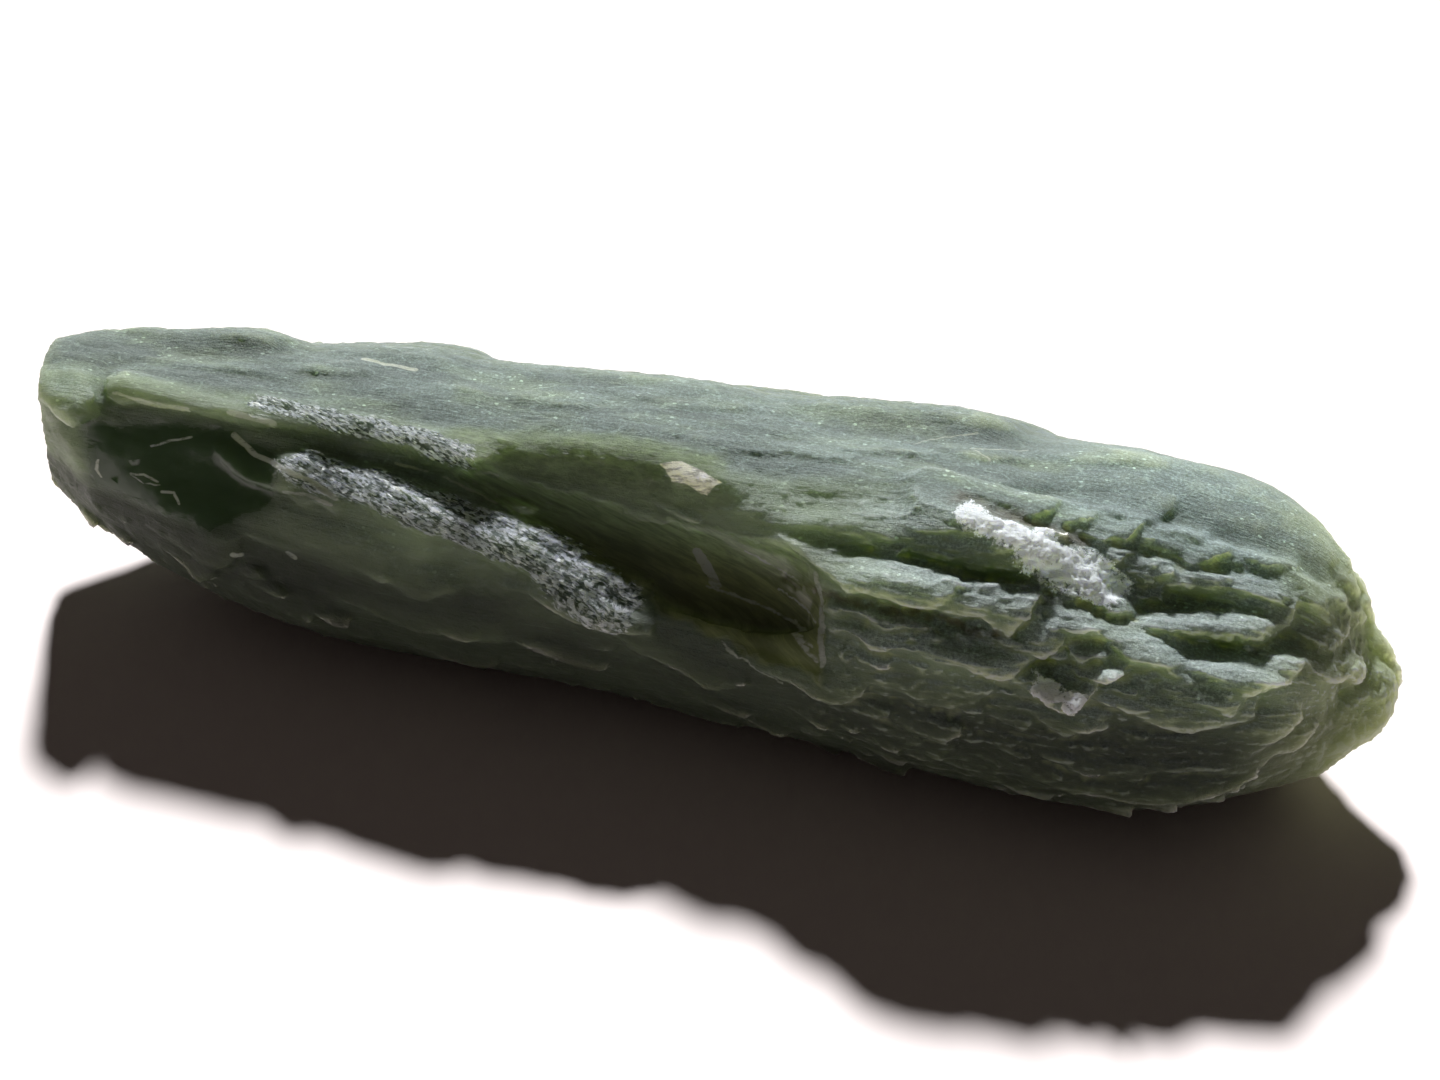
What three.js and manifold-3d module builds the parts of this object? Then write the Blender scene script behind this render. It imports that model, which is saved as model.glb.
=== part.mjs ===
// A raw piece of green quartz: one long splintery lump, lying on its flattest side.
// Millimetres, +X along the stone towards its shaggy end, +Y to the back, +Z up.
import * as THREE from "three";
import Module from "manifold-3d";
import { mergeVertices } from "three/addons/utils/BufferGeometryUtils.js";

// Cross-sections from the broken end to the blunt tip. Each is a ring of nine corners, as [y, z]:
// sole, front foot, belly, shoulder, brow, crest, back shoulder, back belly, back foot.
const sections = [
  {
    x: -30.8,
    ring: [
      [-0.8, 4.4], [-2.2, 4.2], [-3.3, 5.8], [-3.7, 8.3], [-3.3, 10.5],
      [0.0, 10.6], [1.9, 9.1], [2.4, 6.8], [1.0, 4.9],
    ],
  },
  {
    x: -28,
    ring: [
      [-0.6, 3.2], [-2.5, 3.2], [-3.9, 5.0], [-4.1, 7.9], [-2.8, 10.8],
      [1.0, 10.9], [3.4, 9.2], [3.8, 6.2], [2.4, 3.9],
    ],
  },
  {
    x: -24,
    ring: [
      [-0.8, 1.5], [-4.2, 2.1], [-5.3, 4.2], [-5.1, 7.3], [-2.7, 10.5],
      [2.0, 10.5], [4.5, 8.7], [5.2, 5.4], [3.6, 2.2],
    ],
  },
  {
    x: -16,
    ring: [
      [-0.8, -0.4], [-5.4, 1.0], [-6.9, 3.2], [-6.5, 6.5], [-2.8, 10.9],
      [2.6, 10.9], [5.5, 8.7], [6.2, 5.0], [4.4, 1.2],
    ],
  },
  {
    x: -8,
    ring: [
      [-0.6, -0.6], [-5.4, 0.9], [-7.1, 3.1], [-6.9, 6.5], [-3.2, 11.3],
      [3.0, 11.2], [6.1, 8.8], [6.6, 5.0], [4.6, 0.8],
    ],
  },
  {
    x: 0,
    ring: [
      [-0.6, -0.6], [-5.4, 0.9], [-7.3, 3.1], [-7.2, 6.7], [-3.2, 11.6],
      [3.2, 11.4], [6.4, 8.8], [6.8, 5.0], [4.8, 0.5],
    ],
  },
  {
    x: 8,
    ring: [
      [-1.0, -0.6], [-6.1, 0.9], [-8.0, 3.1], [-8.1, 7.3], [-4.1, 11.6],
      [3.7, 11.6], [7.0, 9.1], [7.4, 5.2], [5.2, 0.5],
    ],
  },
  {
    x: 14,
    ring: [
      [-1.2, -0.6], [-6.7, 0.9], [-8.6, 3.2], [-8.5, 7.2], [-4.0, 11.5],
      [3.2, 11.8], [6.6, 9.2], [7.1, 5.2], [5.0, 0.5],
    ],
  },
  {
    x: 20,
    ring: [
      [-1.4, -0.6], [-6.8, 1.0], [-8.7, 3.3], [-7.7, 6.7], [-3.0, 10.8],
      [2.7, 11.5], [6.2, 9.2], [6.8, 5.4], [4.6, 0.8],
    ],
  },
  {
    x: 24,
    ring: [
      [-1.2, 0.3], [-5.5, 1.2], [-7.5, 3.3], [-6.6, 6.3], [-2.0, 9.9],
      [2.6, 10.6], [5.3, 8.7], [5.7, 5.4], [3.9, 1.6],
    ],
  },
  {
    x: 27,
    ring: [
      [-1.2, 1.6], [-4.0, 1.9], [-5.6, 3.6], [-4.6, 5.9], [-1.3, 8.6],
      [1.0, 9.1], [3.0, 7.7], [3.6, 5.4], [2.2, 2.9],
    ],
  },
  {
    x: 29.4,
    ring: [
      [-1.3, 2.8], [-2.8, 3.0], [-3.9, 4.1], [-3.1, 5.8], [-1.2, 7.0],
      [-0.1, 7.0], [1.4, 6.3], [1.9, 5.2], [0.7, 3.8],
    ],
  },
  {
    x: 30.8,
    ring: [
      [-1.1, 3.6], [-2.0, 3.7], [-2.5, 4.4], [-2.1, 5.3], [-1.2, 5.8],
      [-0.5, 5.8], [0.2, 5.5], [0.6, 5.0], [0.0, 4.1],
    ],
  },
];
const tip = [31.2, -0.9, 4.8];
const capMiddle = [-30.8, -0.5, 7];
const ringSteps = 24;
const lengthSteps = 25;

// The line through the middle of the stone that turns are counted about, in degrees:
// 0 faces the front, 90 is straight up, 180 the back and -90 the underside.
// Towards the tip the line sinks, so that every turn still starts inside the stone.
const heart = { y: -0.5, z: 6, sinksFrom: 24, slope: 0.18 };

// The flat face it lies on and the two flat breaks of the thin end: the kept side and its distance.
const endBreak = { towards: [0.955, 0.265, -0.08], distance: -29.8 };
const restingFace = { towards: [0, 0, 1], distance: 0 };
const endBevel = { towards: [0.576, 0.817, 0.06], distance: -18.7 };

// Splinters lie along the stone like shingles. A free lower edge runs from a buried root to a
// blunt tip, both given as [x, turn]; the back of the splinter lies up the slope by its width,
// and its lower edge stands off the skin by its thickness.
const ridgeSplinters = [
  { root: [12, 94], tip: [27.4, 87], width: 6.6, thick: 1.0 },
  { root: [-29, 106], tip: [-19, 108], width: 3.6, thick: 1.2 },
  { root: [-21, 112], tip: [-11, 113], width: 3.0, thick: 0.8 },
  { root: [-16, 112], tip: [2.6, 116], width: 4.0, thick: 0.8 },
  { root: [-2, 114], tip: [13.6, 116], width: 4.4, thick: 1.0 },
  { root: [-24, 86], tip: [-9, 84], width: 3.4, thick: 0.5 },
  { root: [-12, 90], tip: [5, 92], width: 3.6, thick: 0.5 },
  { root: [-9, 70], tip: [-0.6, 72], width: 3.4, thick: 0.5 },
];
const shaggySplinters = [
  { root: [5, 84], tip: [14.2, 82], width: 3.0, thick: 0.8 },
  { root: [9.5, 75], tip: [17.9, 71], width: 3.0, thick: 1.0 },
  { root: [13, 81], tip: [20.4, 77], width: 3.2, thick: 1.0 },
  { root: [15.5, 73], tip: [19.4, 73], width: 1.8, thick: 0.8 },
  { root: [19, 76], tip: [23.2, 76], width: 1.8, thick: 0.8 },
  { root: [1, 61], tip: [12.6, 68], width: 3.4, thick: 1.1 },
  { root: [4, 51], tip: [16.4, 50], width: 3.4, thick: 1.3 },
  { root: [15, 49], tip: [20.3, 40], width: 2.8, thick: 1.2 },
  { root: [2, 40], tip: [16.6, 36], width: 3.6, thick: 1.5 },
  { root: [11.5, 28], tip: [17.6, 28], width: 3.0, thick: 1.2 },
  { root: [16.8, 30], tip: [21.4, 32], width: 2.4, thick: 0.9 },
  { root: [18.8, 38], tip: [27.8, 41], width: 3.4, thick: 1.4 },
  { root: [20.8, 56], tip: [26.3, 60], width: 2.0, thick: 1.0 },
  { root: [16.4, 63], tip: [18.8, 61], width: 1.3, thick: 0.7 },
  { root: [18.2, 59], tip: [20.7, 61], width: 1.3, thick: 0.7 },
  { root: [18.2, 54], tip: [20.5, 54], width: 1.2, thick: 0.7 },
  { root: [19.8, 55], tip: [22.0, 57], width: 1.2, thick: 0.7 },
  { root: [19.2, 66], tip: [22.9, 68], width: 2.0, thick: 0.9 },
  { root: [18.0, 46], tip: [20.9, 47], width: 1.6, thick: 0.8 },
  { root: [19.5, 25], tip: [26.6, 21], width: 2.8, thick: 1.2 },
  { root: [22, 32], tip: [28.6, 30], width: 2.6, thick: 1.1 },
  { root: [22, 76], tip: [28.4, 58], width: 3.0, thick: 1.0 },
  { root: [23, 50], tip: [29, 40], width: 2.6, thick: 0.9 },
  { root: [22, 98], tip: [28.6, 74], width: 3.6, thick: 1.1 },
  { root: [6.5, 29], tip: [12.6, 25], width: 2.6, thick: 1.0 },
  { root: [7.6, 21], tip: [12, 20], width: 1.8, thick: 0.8 },
];
const lowerSplinters = [
  { root: [12, 17], tip: [25.4, 13], width: 3.8, thick: 1.2 },
  { root: [15.6, 15], tip: [18.9, 14], width: 1.6, thick: 1.3 },
  { root: [15, 9], tip: [19.2, 8], width: 1.8, thick: 0.9 },
  { root: [14, 0], tip: [28, 5], width: 3.4, thick: 1.1 },
  { root: [13, -8], tip: [27, -8], width: 3.0, thick: 0.9 },
  { root: [12, -18], tip: [26, -18], width: 3.0, thick: 0.8 },
  { root: [7, 14], tip: [15, 14], width: 3.0, thick: 0.7 },
  { root: [4, 6], tip: [10.2, 4], width: 2.2, thick: 0.9 },
  { root: [-8, -2], tip: [7, -7], width: 3.0, thick: 0.7 },
  { root: [-2, -14], tip: [14, -16], width: 3.2, thick: 0.7 },
];
const middleSplinters = [
  { root: [-5, 73], tip: [2.5, 74], width: 2.0, thick: 0.7 },
  { root: [1, 76], tip: [9.2, 77], width: 2.4, thick: 0.9 },
  { root: [-1.6, 63], tip: [2.4, 58], width: 1.5, thick: 0.7 },
];
const brokenEndSplinters = [
  { root: [-7, 57], tip: [-25.8, 62], width: 2.6, thick: 1.1 },
  { root: [-27, 42], tip: [-16, 35], width: 3.6, thick: 0.7 },
  { root: [-19, 48], tip: [-1.0, 17], bow: 9, width: 3.4, thick: 0.9, opensUp: true },
  { root: [-19, 60], tip: [-7.4, 55], width: 2.0, thick: 0.6 },
  { root: [-22, 9], tip: [-8.9, 4], width: 3.8, thick: 1.2 },
  { root: [-12, 1], tip: [0.4, -2], width: 3.0, thick: 0.9 },
  { root: [-26, 4], tip: [-18.2, -2], width: 2.6, thick: 0.8 },
  { root: [-24, -18], tip: [-14.4, -26], width: 3.2, thick: 0.9 },
  { root: [-20, -10], tip: [-5, -14], width: 3.0, thick: 0.8 },
  { root: [-30.6, 58], tip: [-26.2, 46], width: 2.8, thick: 0.8 },
];

// Hollows: one broad smooth scoop in the front and the cracks that open between splinters.
const scoop = { root: [-14, 62], tip: [8.2, 22], bow: 2, width: 6.4, depth: 1.7, corners: 16 };
const cracks = [
  { root: [11.6, 68], tip: [21, 69], width: 1.7, depth: 1.1, corners: 8 },
  { root: [4, 47.5], tip: [16, 46.5], width: 1.0, depth: 0.9, corners: 6 },
  { root: [5, 33], tip: [16.8, 31], width: 1.5, depth: 1.2, corners: 6 },
  { root: [15.2, 23], tip: [17.9, 24], width: 2.0, depth: 1.6, corners: 8 },
  { root: [20.4, 33], tip: [24.4, 35], width: 1.4, depth: 1.0, corners: 6 },
  { root: [18.6, 42], tip: [20.8, 43], width: 1.4, depth: 1.0, corners: 6 },
  { root: [15.5, -5], tip: [25.5, -4], width: 0.8, depth: 0.8, corners: 6 },
];

// Splinters of the back and underside, laid in staggered rows with a fixed scatter.
const hiddenRows = {
  fromTurn: 136,
  toTurn: 306,
  rows: 8,
  perRow: 4,
  fromX: -27,
  toX: 29,
  lastTipX: 26.5,
  width: 3.3,
  thick: 0.9,
  length: 16,
};

// Where the skin is measured: places along the stone and turns about the heart.
const skinGrid = {
  fromX: -31,
  stepX: 1.1,
  places: 57,
  leastX: -30.7,
  mostX: 30.4,
  stepTurn: 6,
};

const wasm = await Module();
wasm.setup();

// A repeatable scatter between 0 and 1.
let seed = 11;
function scatter() {
  seed = (seed * 16807) % 2147483647;
  return seed / 2147483647;
}

// A closed surface through the sections, with a flat cap at the thin end and a pole at the tip.
function bodyGeometry() {
  const corners = sections[0].ring.length;
  const rails = [];
  for (let c = 0; c < corners; c++) {
    const points = sections.map((s) => new THREE.Vector3(s.x, s.ring[c][0], s.ring[c][1]));
    rails.push(new THREE.CatmullRomCurve3([...points, new THREE.Vector3(...tip)], false, "centripetal"));
  }
  const positions = [];
  const index = [];
  for (let i = 0; i < lengthSteps; i++) {
    const along = i / lengthSteps;
    const loop = new THREE.CatmullRomCurve3(rails.map((r) => r.getPoint(along)), true, "centripetal");
    for (let k = 0; k < ringSteps; k++) {
      positions.push(...loop.getPoint(k / ringSteps).toArray());
    }
  }
  const pole = positions.length / 3;
  positions.push(...tip);
  const cap = pole + 1;
  positions.push(...capMiddle);
  for (let k = 0; k < ringSteps; k++) {
    const next = (k + 1) % ringSteps;
    for (let i = 0; i < lengthSteps - 1; i++) {
      const a = i * ringSteps + k;
      const b = i * ringSteps + next;
      index.push(a, a + ringSteps, b, b, a + ringSteps, b + ringSteps);
    }
    const last = (lengthSteps - 1) * ringSteps;
    index.push(last + k, pole, last + next);
    index.push(k, next, cap);
  }
  const geometry = new THREE.BufferGeometry();
  geometry.setAttribute("position", new THREE.Float32BufferAttribute(positions, 3));
  geometry.setIndex(index);
  return geometry;
}

// A point of the heart line.
function heartPoint(x) {
  return new THREE.Vector3(x, heart.y, heart.z - Math.max(0, x - heart.sinksFrom) * heart.slope);
}

// The direction of a turn about the heart.
function turnDirection(turn) {
  const angle = THREE.MathUtils.degToRad(turn);
  return new THREE.Vector3(0, -Math.cos(angle), Math.sin(angle));
}

// The skin's distance from the heart, found once on a grid of places along and around the stone.
function measureSkin() {
  const bothSides = new THREE.MeshBasicMaterial({ side: THREE.DoubleSide });
  const surface = new THREE.Mesh(bodyGeometry(), bothSides);
  const finder = new THREE.Raycaster();
  const rows = [];
  for (let r = 0; r < skinGrid.places; r++) {
    const row = [];
    const x = skinGrid.fromX + r * skinGrid.stepX;
    const inside = THREE.MathUtils.clamp(x, skinGrid.leastX, skinGrid.mostX);
    for (let turn = 0; turn < 360; turn += skinGrid.stepTurn) {
      finder.set(heartPoint(inside), turnDirection(turn));
      row.push(finder.intersectObject(surface)[0].distance);
    }
    rows.push(row);
  }
  return rows;
}

const skin = measureSkin();

// The point of the skin at a place along the stone and a turn about its heart.
function skinPoint(x, turn) {
  const column = (((turn % 360) + 360) % 360) / skinGrid.stepTurn;
  const row = THREE.MathUtils.clamp((x - skinGrid.fromX) / skinGrid.stepX, 0, skin.length - 1.001);
  const [r, c] = [Math.floor(row), Math.floor(column)];
  const next = (c + 1) % skin[0].length;
  const near = THREE.MathUtils.lerp(skin[r][c], skin[r][next], column - c);
  const far = THREE.MathUtils.lerp(skin[r + 1][c], skin[r + 1][next], column - c);
  return heartPoint(x).addScaledVector(turnDirection(turn), THREE.MathUtils.lerp(near, far, row - r));
}

// The direction that points straight out of the skin there.
const slopeReach = { x: 0.8, turn: 5 };
function skinOutward(x, turn) {
  const around = skinPoint(x, turn + slopeReach.turn).sub(skinPoint(x, turn - slopeReach.turn));
  const along = skinPoint(x + slopeReach.x, turn).sub(skinPoint(x - slopeReach.x, turn));
  return new THREE.Vector3().crossVectors(along, around).normalize();
}

// A point so many millimetres up the slope from a place on the skin, and so far out of it.
function nearSkin(x, turn, upslope, outward) {
  const radius = skinPoint(x, turn).distanceTo(heartPoint(x));
  const there = turn + THREE.MathUtils.radToDeg(upslope / radius);
  return skinPoint(x, there).addScaledVector(skinOutward(x, there), outward);
}

// A closed loft from a point through rings of corners to another point.
function loftGeometry(start, rings, end) {
  const corners = rings[0].length;
  const positions = [start, ...rings.flat(), end].flatMap((p) => p.toArray());
  const index = [];
  const endPoint = 1 + rings.length * corners;
  for (let k = 0; k < corners; k++) {
    const next = (k + 1) % corners;
    index.push(0, 1 + k, 1 + next);
    for (let i = 0; i < rings.length - 1; i++) {
      const a = 1 + i * corners + k;
      const b = 1 + i * corners + next;
      index.push(a, a + corners, b, b, a + corners, b + corners);
    }
    const last = 1 + (rings.length - 1) * corners;
    index.push(last + k, endPoint, last + next);
  }
  const geometry = new THREE.BufferGeometry();
  geometry.setAttribute("position", new THREE.Float32BufferAttribute(positions, 3));
  geometry.setIndex(index);
  return geometry;
}

// The place a share of the way along a path over the skin, which may bow up the slope.
function onPath({ root, tip: end, bow = 0 }, share) {
  const x = root[0] + (end[0] - root[0]) * share;
  return [x, root[1] + (end[1] - root[1]) * share + 4 * bow * share * (1 - share)];
}

// How a splinter swells from its root to its tip: place along it, share of width, share of height.
const swell = [
  [0.2, 0.4, 0.25],
  [0.5, 0.8, 0.7],
  [0.78, 1, 1],
  [0.92, 0.8, 1],
  [0.985, 0.45, 0.8],
];
const plainSwell = [
  [0.42, 0.7, 0.6],
  [0.82, 1, 1],
  [0.98, 0.55, 0.85],
];
// The wedge across a splinter: share of width up the slope from the free edge, share of thickness.
const wedge = [
  [0, 0.5],
  [0.1, 1],
  [0.55, 0.7],
  [1, 0.05],
  [0.5, -0.9],
];

// How far the free edge draws in where the splinter is narrow, and how uneven its corners are.
const edgeInset = 0.3;
const unevenWidth = 0.12;
const unevenPlace = 0.3;

// One splinter: a wedge that swells along its free edge, closed by a point at each end.
// The free edge is the lower one, unless the splinter opens up the slope.
function splinterGeometry(splinter) {
  const { width, thick, opensUp = false, stages = swell } = splinter;
  const side = opensUp ? -1 : 1;
  const rings = stages.map(([share, wide, high]) => {
    const [x, turn] = onPath(splinter, share);
    return wedge.map(([across, up]) => {
      const inset = edgeInset * width * (1 - wide);
      const upslope = inset + (across + unevenWidth * (scatter() - 0.5)) * width * wide;
      const shift = unevenPlace * (scatter() - 0.5);
      const outward = up > 0 ? up * high * thick : up * thick;
      return nearSkin(x + shift, turn, side * upslope, outward);
    });
  });
  const start = nearSkin(...onPath(splinter, 0), (side * width) / 3, -thick);
  const end = nearSkin(...onPath(splinter, 1), (side * width) / 2, 0);
  return loftGeometry(start, rings, end);
}

// How a hollow opens and closes from one end to the other: place along it, width, depth.
const hollowSwell = [
  [0.06, 0.22, 0.25],
  [0.2, 0.42, 0.5],
  [0.38, 0.66, 0.75],
  [0.56, 0.86, 0.92],
  [0.74, 1, 1],
  [0.88, 0.94, 0.95],
  [0.96, 0.66, 0.7],
];

// The round tool that opens a hollow: its middle and half height as shares of the hollow's depth,
// and how far out of the skin it starts and ends.
const tool = { middle: 0.6, halfHeight: 1.6, endsAbove: 0.2 };

// The tool's path lies along the middle of the hollow.
function hollowGeometry(hollow) {
  const { width, depth, corners } = hollow;
  const rings = hollowSwell.map(([share, wide, deep]) => {
    const [x, turn] = onPath(hollow, share);
    const ring = [];
    for (let k = 0; k < corners; k++) {
      const angle = (2 * Math.PI * k) / corners;
      const across = (width * wide * Math.cos(angle)) / 2;
      const outward = depth * deep * (tool.middle + tool.halfHeight * Math.sin(angle));
      ring.push(nearSkin(x, turn, across, outward));
    }
    return ring;
  });
  const start = nearSkin(...onPath(hollow, 0), 0, tool.endsAbove);
  const end = nearSkin(...onPath(hollow, 1), 0, tool.endsAbove);
  return loftGeometry(start, rings, end);
}

// The splinters of the back and underside.
function hiddenSplinters() {
  const { fromTurn, toTurn, rows, perRow, fromX, toX, lastTipX, width, thick, length } = hiddenRows;
  const found = [];
  for (let r = 0; r < rows; r++) {
    for (let c = 0; c < perRow; c++) {
      const turn = fromTurn + ((toTurn - fromTurn) * (r + 0.6 * scatter())) / rows;
      const stagger = (r % 2) * 0.5;
      const x = fromX + ((toX - fromX) * (c + stagger + 0.7 * scatter())) / perRow;
      const tipX = Math.min(lastTipX, x + length * (0.6 + 0.5 * scatter()));
      const tipTurn = turn + 8 * (scatter() - 0.5);
      found.push({ root: [x, turn], tip: [tipX, tipTurn], width, thick, stages: plainSwell });
    }
  }
  return found;
}

// A closed mesh handed to the solid modeller, turned the right way round.
function solidOf(geometry) {
  const merged = mergeVertices(geometry, 1e-4);
  const vertProperties = merged.attributes.position.array;
  const triVerts = new Uint32Array(merged.index.array);
  const solid = new wasm.Manifold(new wasm.Mesh({ numProp: 3, vertProperties, triVerts }));
  if (solid.volume() > 0) return solid;
  triVerts.reverse();
  return new wasm.Manifold(new wasm.Mesh({ numProp: 3, vertProperties, triVerts }));
}

// A block that takes away everything beyond a plane: the kept side's direction and its distance.
const blockSize = 90;
function beyondPlane({ towards, distance }) {
  const inward = new THREE.Vector3(...towards).normalize();
  const turned = new THREE.Quaternion().setFromUnitVectors(new THREE.Vector3(0, 0, 1), inward);
  const middle = inward.clone().multiplyScalar(distance - blockSize / 2);
  const block = new THREE.BoxGeometry(blockSize, blockSize, blockSize);
  block.deleteAttribute("normal");
  block.deleteAttribute("uv");
  block.applyQuaternion(turned);
  block.translate(middle.x, middle.y, middle.z);
  return solidOf(block);
}

// The faces that hang together with the most others: the outer skin, without any void that
// stays shut between splinters.
function outerFaces(triVerts, pointCount) {
  const shellOf = Array.from({ length: pointCount }, (_, i) => i);
  const shell = (point) => {
    let found = point;
    while (shellOf[found] !== found) found = shellOf[found];
    return found;
  };
  for (let i = 0; i < triVerts.length; i += 3) {
    shellOf[shell(triVerts[i + 1])] = shell(triVerts[i]);
    shellOf[shell(triVerts[i + 2])] = shell(triVerts[i]);
  }
  const sizes = new Map();
  for (const point of triVerts) {
    sizes.set(shell(point), (sizes.get(shell(point)) ?? 0) + 1);
  }
  const bySize = [...sizes.entries()].sort((a, b) => b[1] - a[1]);
  const outer = bySize[0][0];
  const kept = [];
  for (let i = 0; i < triVerts.length; i += 3) {
    if (shell(triVerts[i]) === outer) kept.push(...triVerts.slice(i, i + 3));
  }
  return kept;
}

// The finished stone as a mesh, with its origin at the middle of its base.
function geometryOf(solid) {
  const { vertProperties, triVerts } = solid.getMesh();
  const geometry = new THREE.BufferGeometry();
  geometry.setAttribute("position", new THREE.BufferAttribute(vertProperties, 3));
  geometry.setIndex(outerFaces(triVerts, vertProperties.length / 3));
  geometry.computeBoundingBox();
  const middle = geometry.boundingBox.getCenter(new THREE.Vector3());
  return geometry.translate(-middle.x, -middle.y, 0);
}

// Milky green quartz, weathered to a satin.
function quartzMaterial() {
  return new THREE.MeshStandardMaterial({ color: 0x5f7358, roughness: 0.45, metalness: 0 });
}

// The lump with its scoop, then every splinter, then the cracks and the flat faces.
function stoneSolid() {
  const splinters = [
    ...ridgeSplinters,
    ...shaggySplinters,
    ...lowerSplinters,
    ...middleSplinters,
    ...brokenEndSplinters,
    ...hiddenSplinters(),
  ];
  let stone = solidOf(bodyGeometry()).subtract(solidOf(hollowGeometry(scoop)));
  for (const splinter of splinters) stone = stone.add(solidOf(splinterGeometry(splinter)));
  for (const crack of cracks) stone = stone.subtract(solidOf(hollowGeometry(crack)));
  for (const plane of [endBreak, endBevel, restingFace]) stone = stone.subtract(beyondPlane(plane));
  return stone;
}

const stone = new THREE.Mesh(geometryOf(stoneSolid()), quartzMaterial());
stone.name = "green_quartz";
const part = new THREE.Group();
part.add(stone);
export default part;
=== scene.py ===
import bpy
import math
import random
import bmesh
from mathutils import Matrix, Vector
from mathutils.bvhtree import BVHTree


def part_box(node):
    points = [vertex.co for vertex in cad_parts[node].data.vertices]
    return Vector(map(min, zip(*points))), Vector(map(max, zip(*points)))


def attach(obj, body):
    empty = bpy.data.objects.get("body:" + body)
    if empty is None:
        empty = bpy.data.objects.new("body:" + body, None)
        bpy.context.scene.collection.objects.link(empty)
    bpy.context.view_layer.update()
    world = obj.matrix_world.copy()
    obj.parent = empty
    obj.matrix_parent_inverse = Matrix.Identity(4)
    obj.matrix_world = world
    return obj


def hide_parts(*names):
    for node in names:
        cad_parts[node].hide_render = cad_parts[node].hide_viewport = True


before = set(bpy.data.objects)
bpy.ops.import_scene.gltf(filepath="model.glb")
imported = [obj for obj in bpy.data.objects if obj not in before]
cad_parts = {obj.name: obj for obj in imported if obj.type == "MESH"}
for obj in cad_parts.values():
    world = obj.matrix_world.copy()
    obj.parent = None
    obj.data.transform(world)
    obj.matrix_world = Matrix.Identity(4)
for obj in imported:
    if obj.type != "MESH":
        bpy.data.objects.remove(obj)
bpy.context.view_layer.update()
print("frame loaded")

mm = 0.001


# small helpers for node trees, used by the shapes and the material alike

def feed(tree, socket, value):
    if isinstance(value, bpy.types.NodeSocket):
        tree.links.new(value, socket)
    else:
        socket.default_value = value


def addNode(tree, kind, inputs=None, **settings):
    node = tree.nodes.new(kind)
    for name, value in settings.items():
        setattr(node, name, value)
    for key, value in (inputs or {}).items():
        feed(tree, node.inputs[key], value)
    return node


def calc(tree, operation, *values, clamp=False):
    node = addNode(tree, "ShaderNodeMath", operation=operation, use_clamp=clamp)
    for socket, value in zip(node.inputs, values):
        feed(tree, socket, value)
    return node.outputs[0]


def vectorCalc(tree, operation, first, second=None, scale=None):
    node = addNode(tree, "ShaderNodeVectorMath", {0: first}, operation=operation)
    if second is not None:
        feed(tree, node.inputs[1], second)
    if scale is not None:
        feed(tree, node.inputs["Scale"], scale)
    return node.outputs["Value" if operation in ("DOT_PRODUCT", "LENGTH", "DISTANCE") else 0]


def rise(tree, value, low, high, lowTo=0.0, highTo=1.0):
    # a soft step from lowTo to highTo
    node = addNode(tree, "ShaderNodeMapRange", interpolation_type="SMOOTHSTEP")
    sockets = ("Value", "From Min", "From Max", "To Min", "To Max")
    for key, number in zip(sockets, (value, low, high, lowTo, highTo)):
        feed(tree, node.inputs[key], number)
    return node.outputs["Result"]


def chained(tree, operation, values):
    found = values[0]
    for value in values[1:]:
        found = calc(tree, operation, found, value)
    return found


def most(tree, *values):
    return chained(tree, "MAXIMUM", values)


def least(tree, *values):
    return chained(tree, "MINIMUM", values)


def product(tree, *values):
    return chained(tree, "MULTIPLY", values)


def total(tree, *values):
    return chained(tree, "ADD", values)


def minus(tree, value, taken):
    return calc(tree, "SUBTRACT", value, taken)


def opposite(tree, value):
    return minus(tree, 1.0, value)


def fade(tree, mask, off, on):
    # off where the mask is 0, on where it is 1
    return rise(tree, mask, 0.0, 1.0, off, on)


def joinVector(tree, x, y, z=0.0):
    return addNode(tree, "ShaderNodeCombineXYZ", {0: x, 1: y, 2: z}).outputs[0]


def splitVector(tree, vector):
    return addNode(tree, "ShaderNodeSeparateXYZ", {0: vector}).outputs


def noiseNode(tree, place, scale, detail, roughness, distortion=0.0):
    return addNode(tree, "ShaderNodeTexNoise", {
        "Vector": place, "Scale": scale, "Detail": detail, "Roughness": roughness, "Distortion": distortion,
    })


def noise(tree, *settings):
    return noiseNode(tree, *settings).outputs["Fac"]


def shake(tree, *settings):
    # a wandering offset, from -0.5 to 0.5 each way
    return vectorCalc(tree, "SUBTRACT", noiseNode(tree, *settings).outputs["Color"], (0.5, 0.5, 0.5))


def cells(tree, place, feature="F1"):
    return addNode(tree, "ShaderNodeTexVoronoi", {"Vector": place, "Scale": 1.0, "Randomness": 1.0},
                   feature=feature, voronoi_dimensions="2D")


# where things lie on the stone
# Places are unrolled onto a sheet in millimetres: along the stone, and around it by turn.
# A turn of 0 faces the front, 90 straight up, 180 the back and -90 or 270 the underside.

layout = {
    "heartY": 0.17,        # line through the middle of the stone, mm
    "heartZ": 6.0,
    "sinksFrom": 23.8,     # it sinks towards the tip
    "slope": 0.18,
    "alongShift": 0.2,
    "perTurn": 0.13,       # mm around the stone for a degree
    "edgeWander": 1.32,    # mm, how far region edges wander
}


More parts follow.
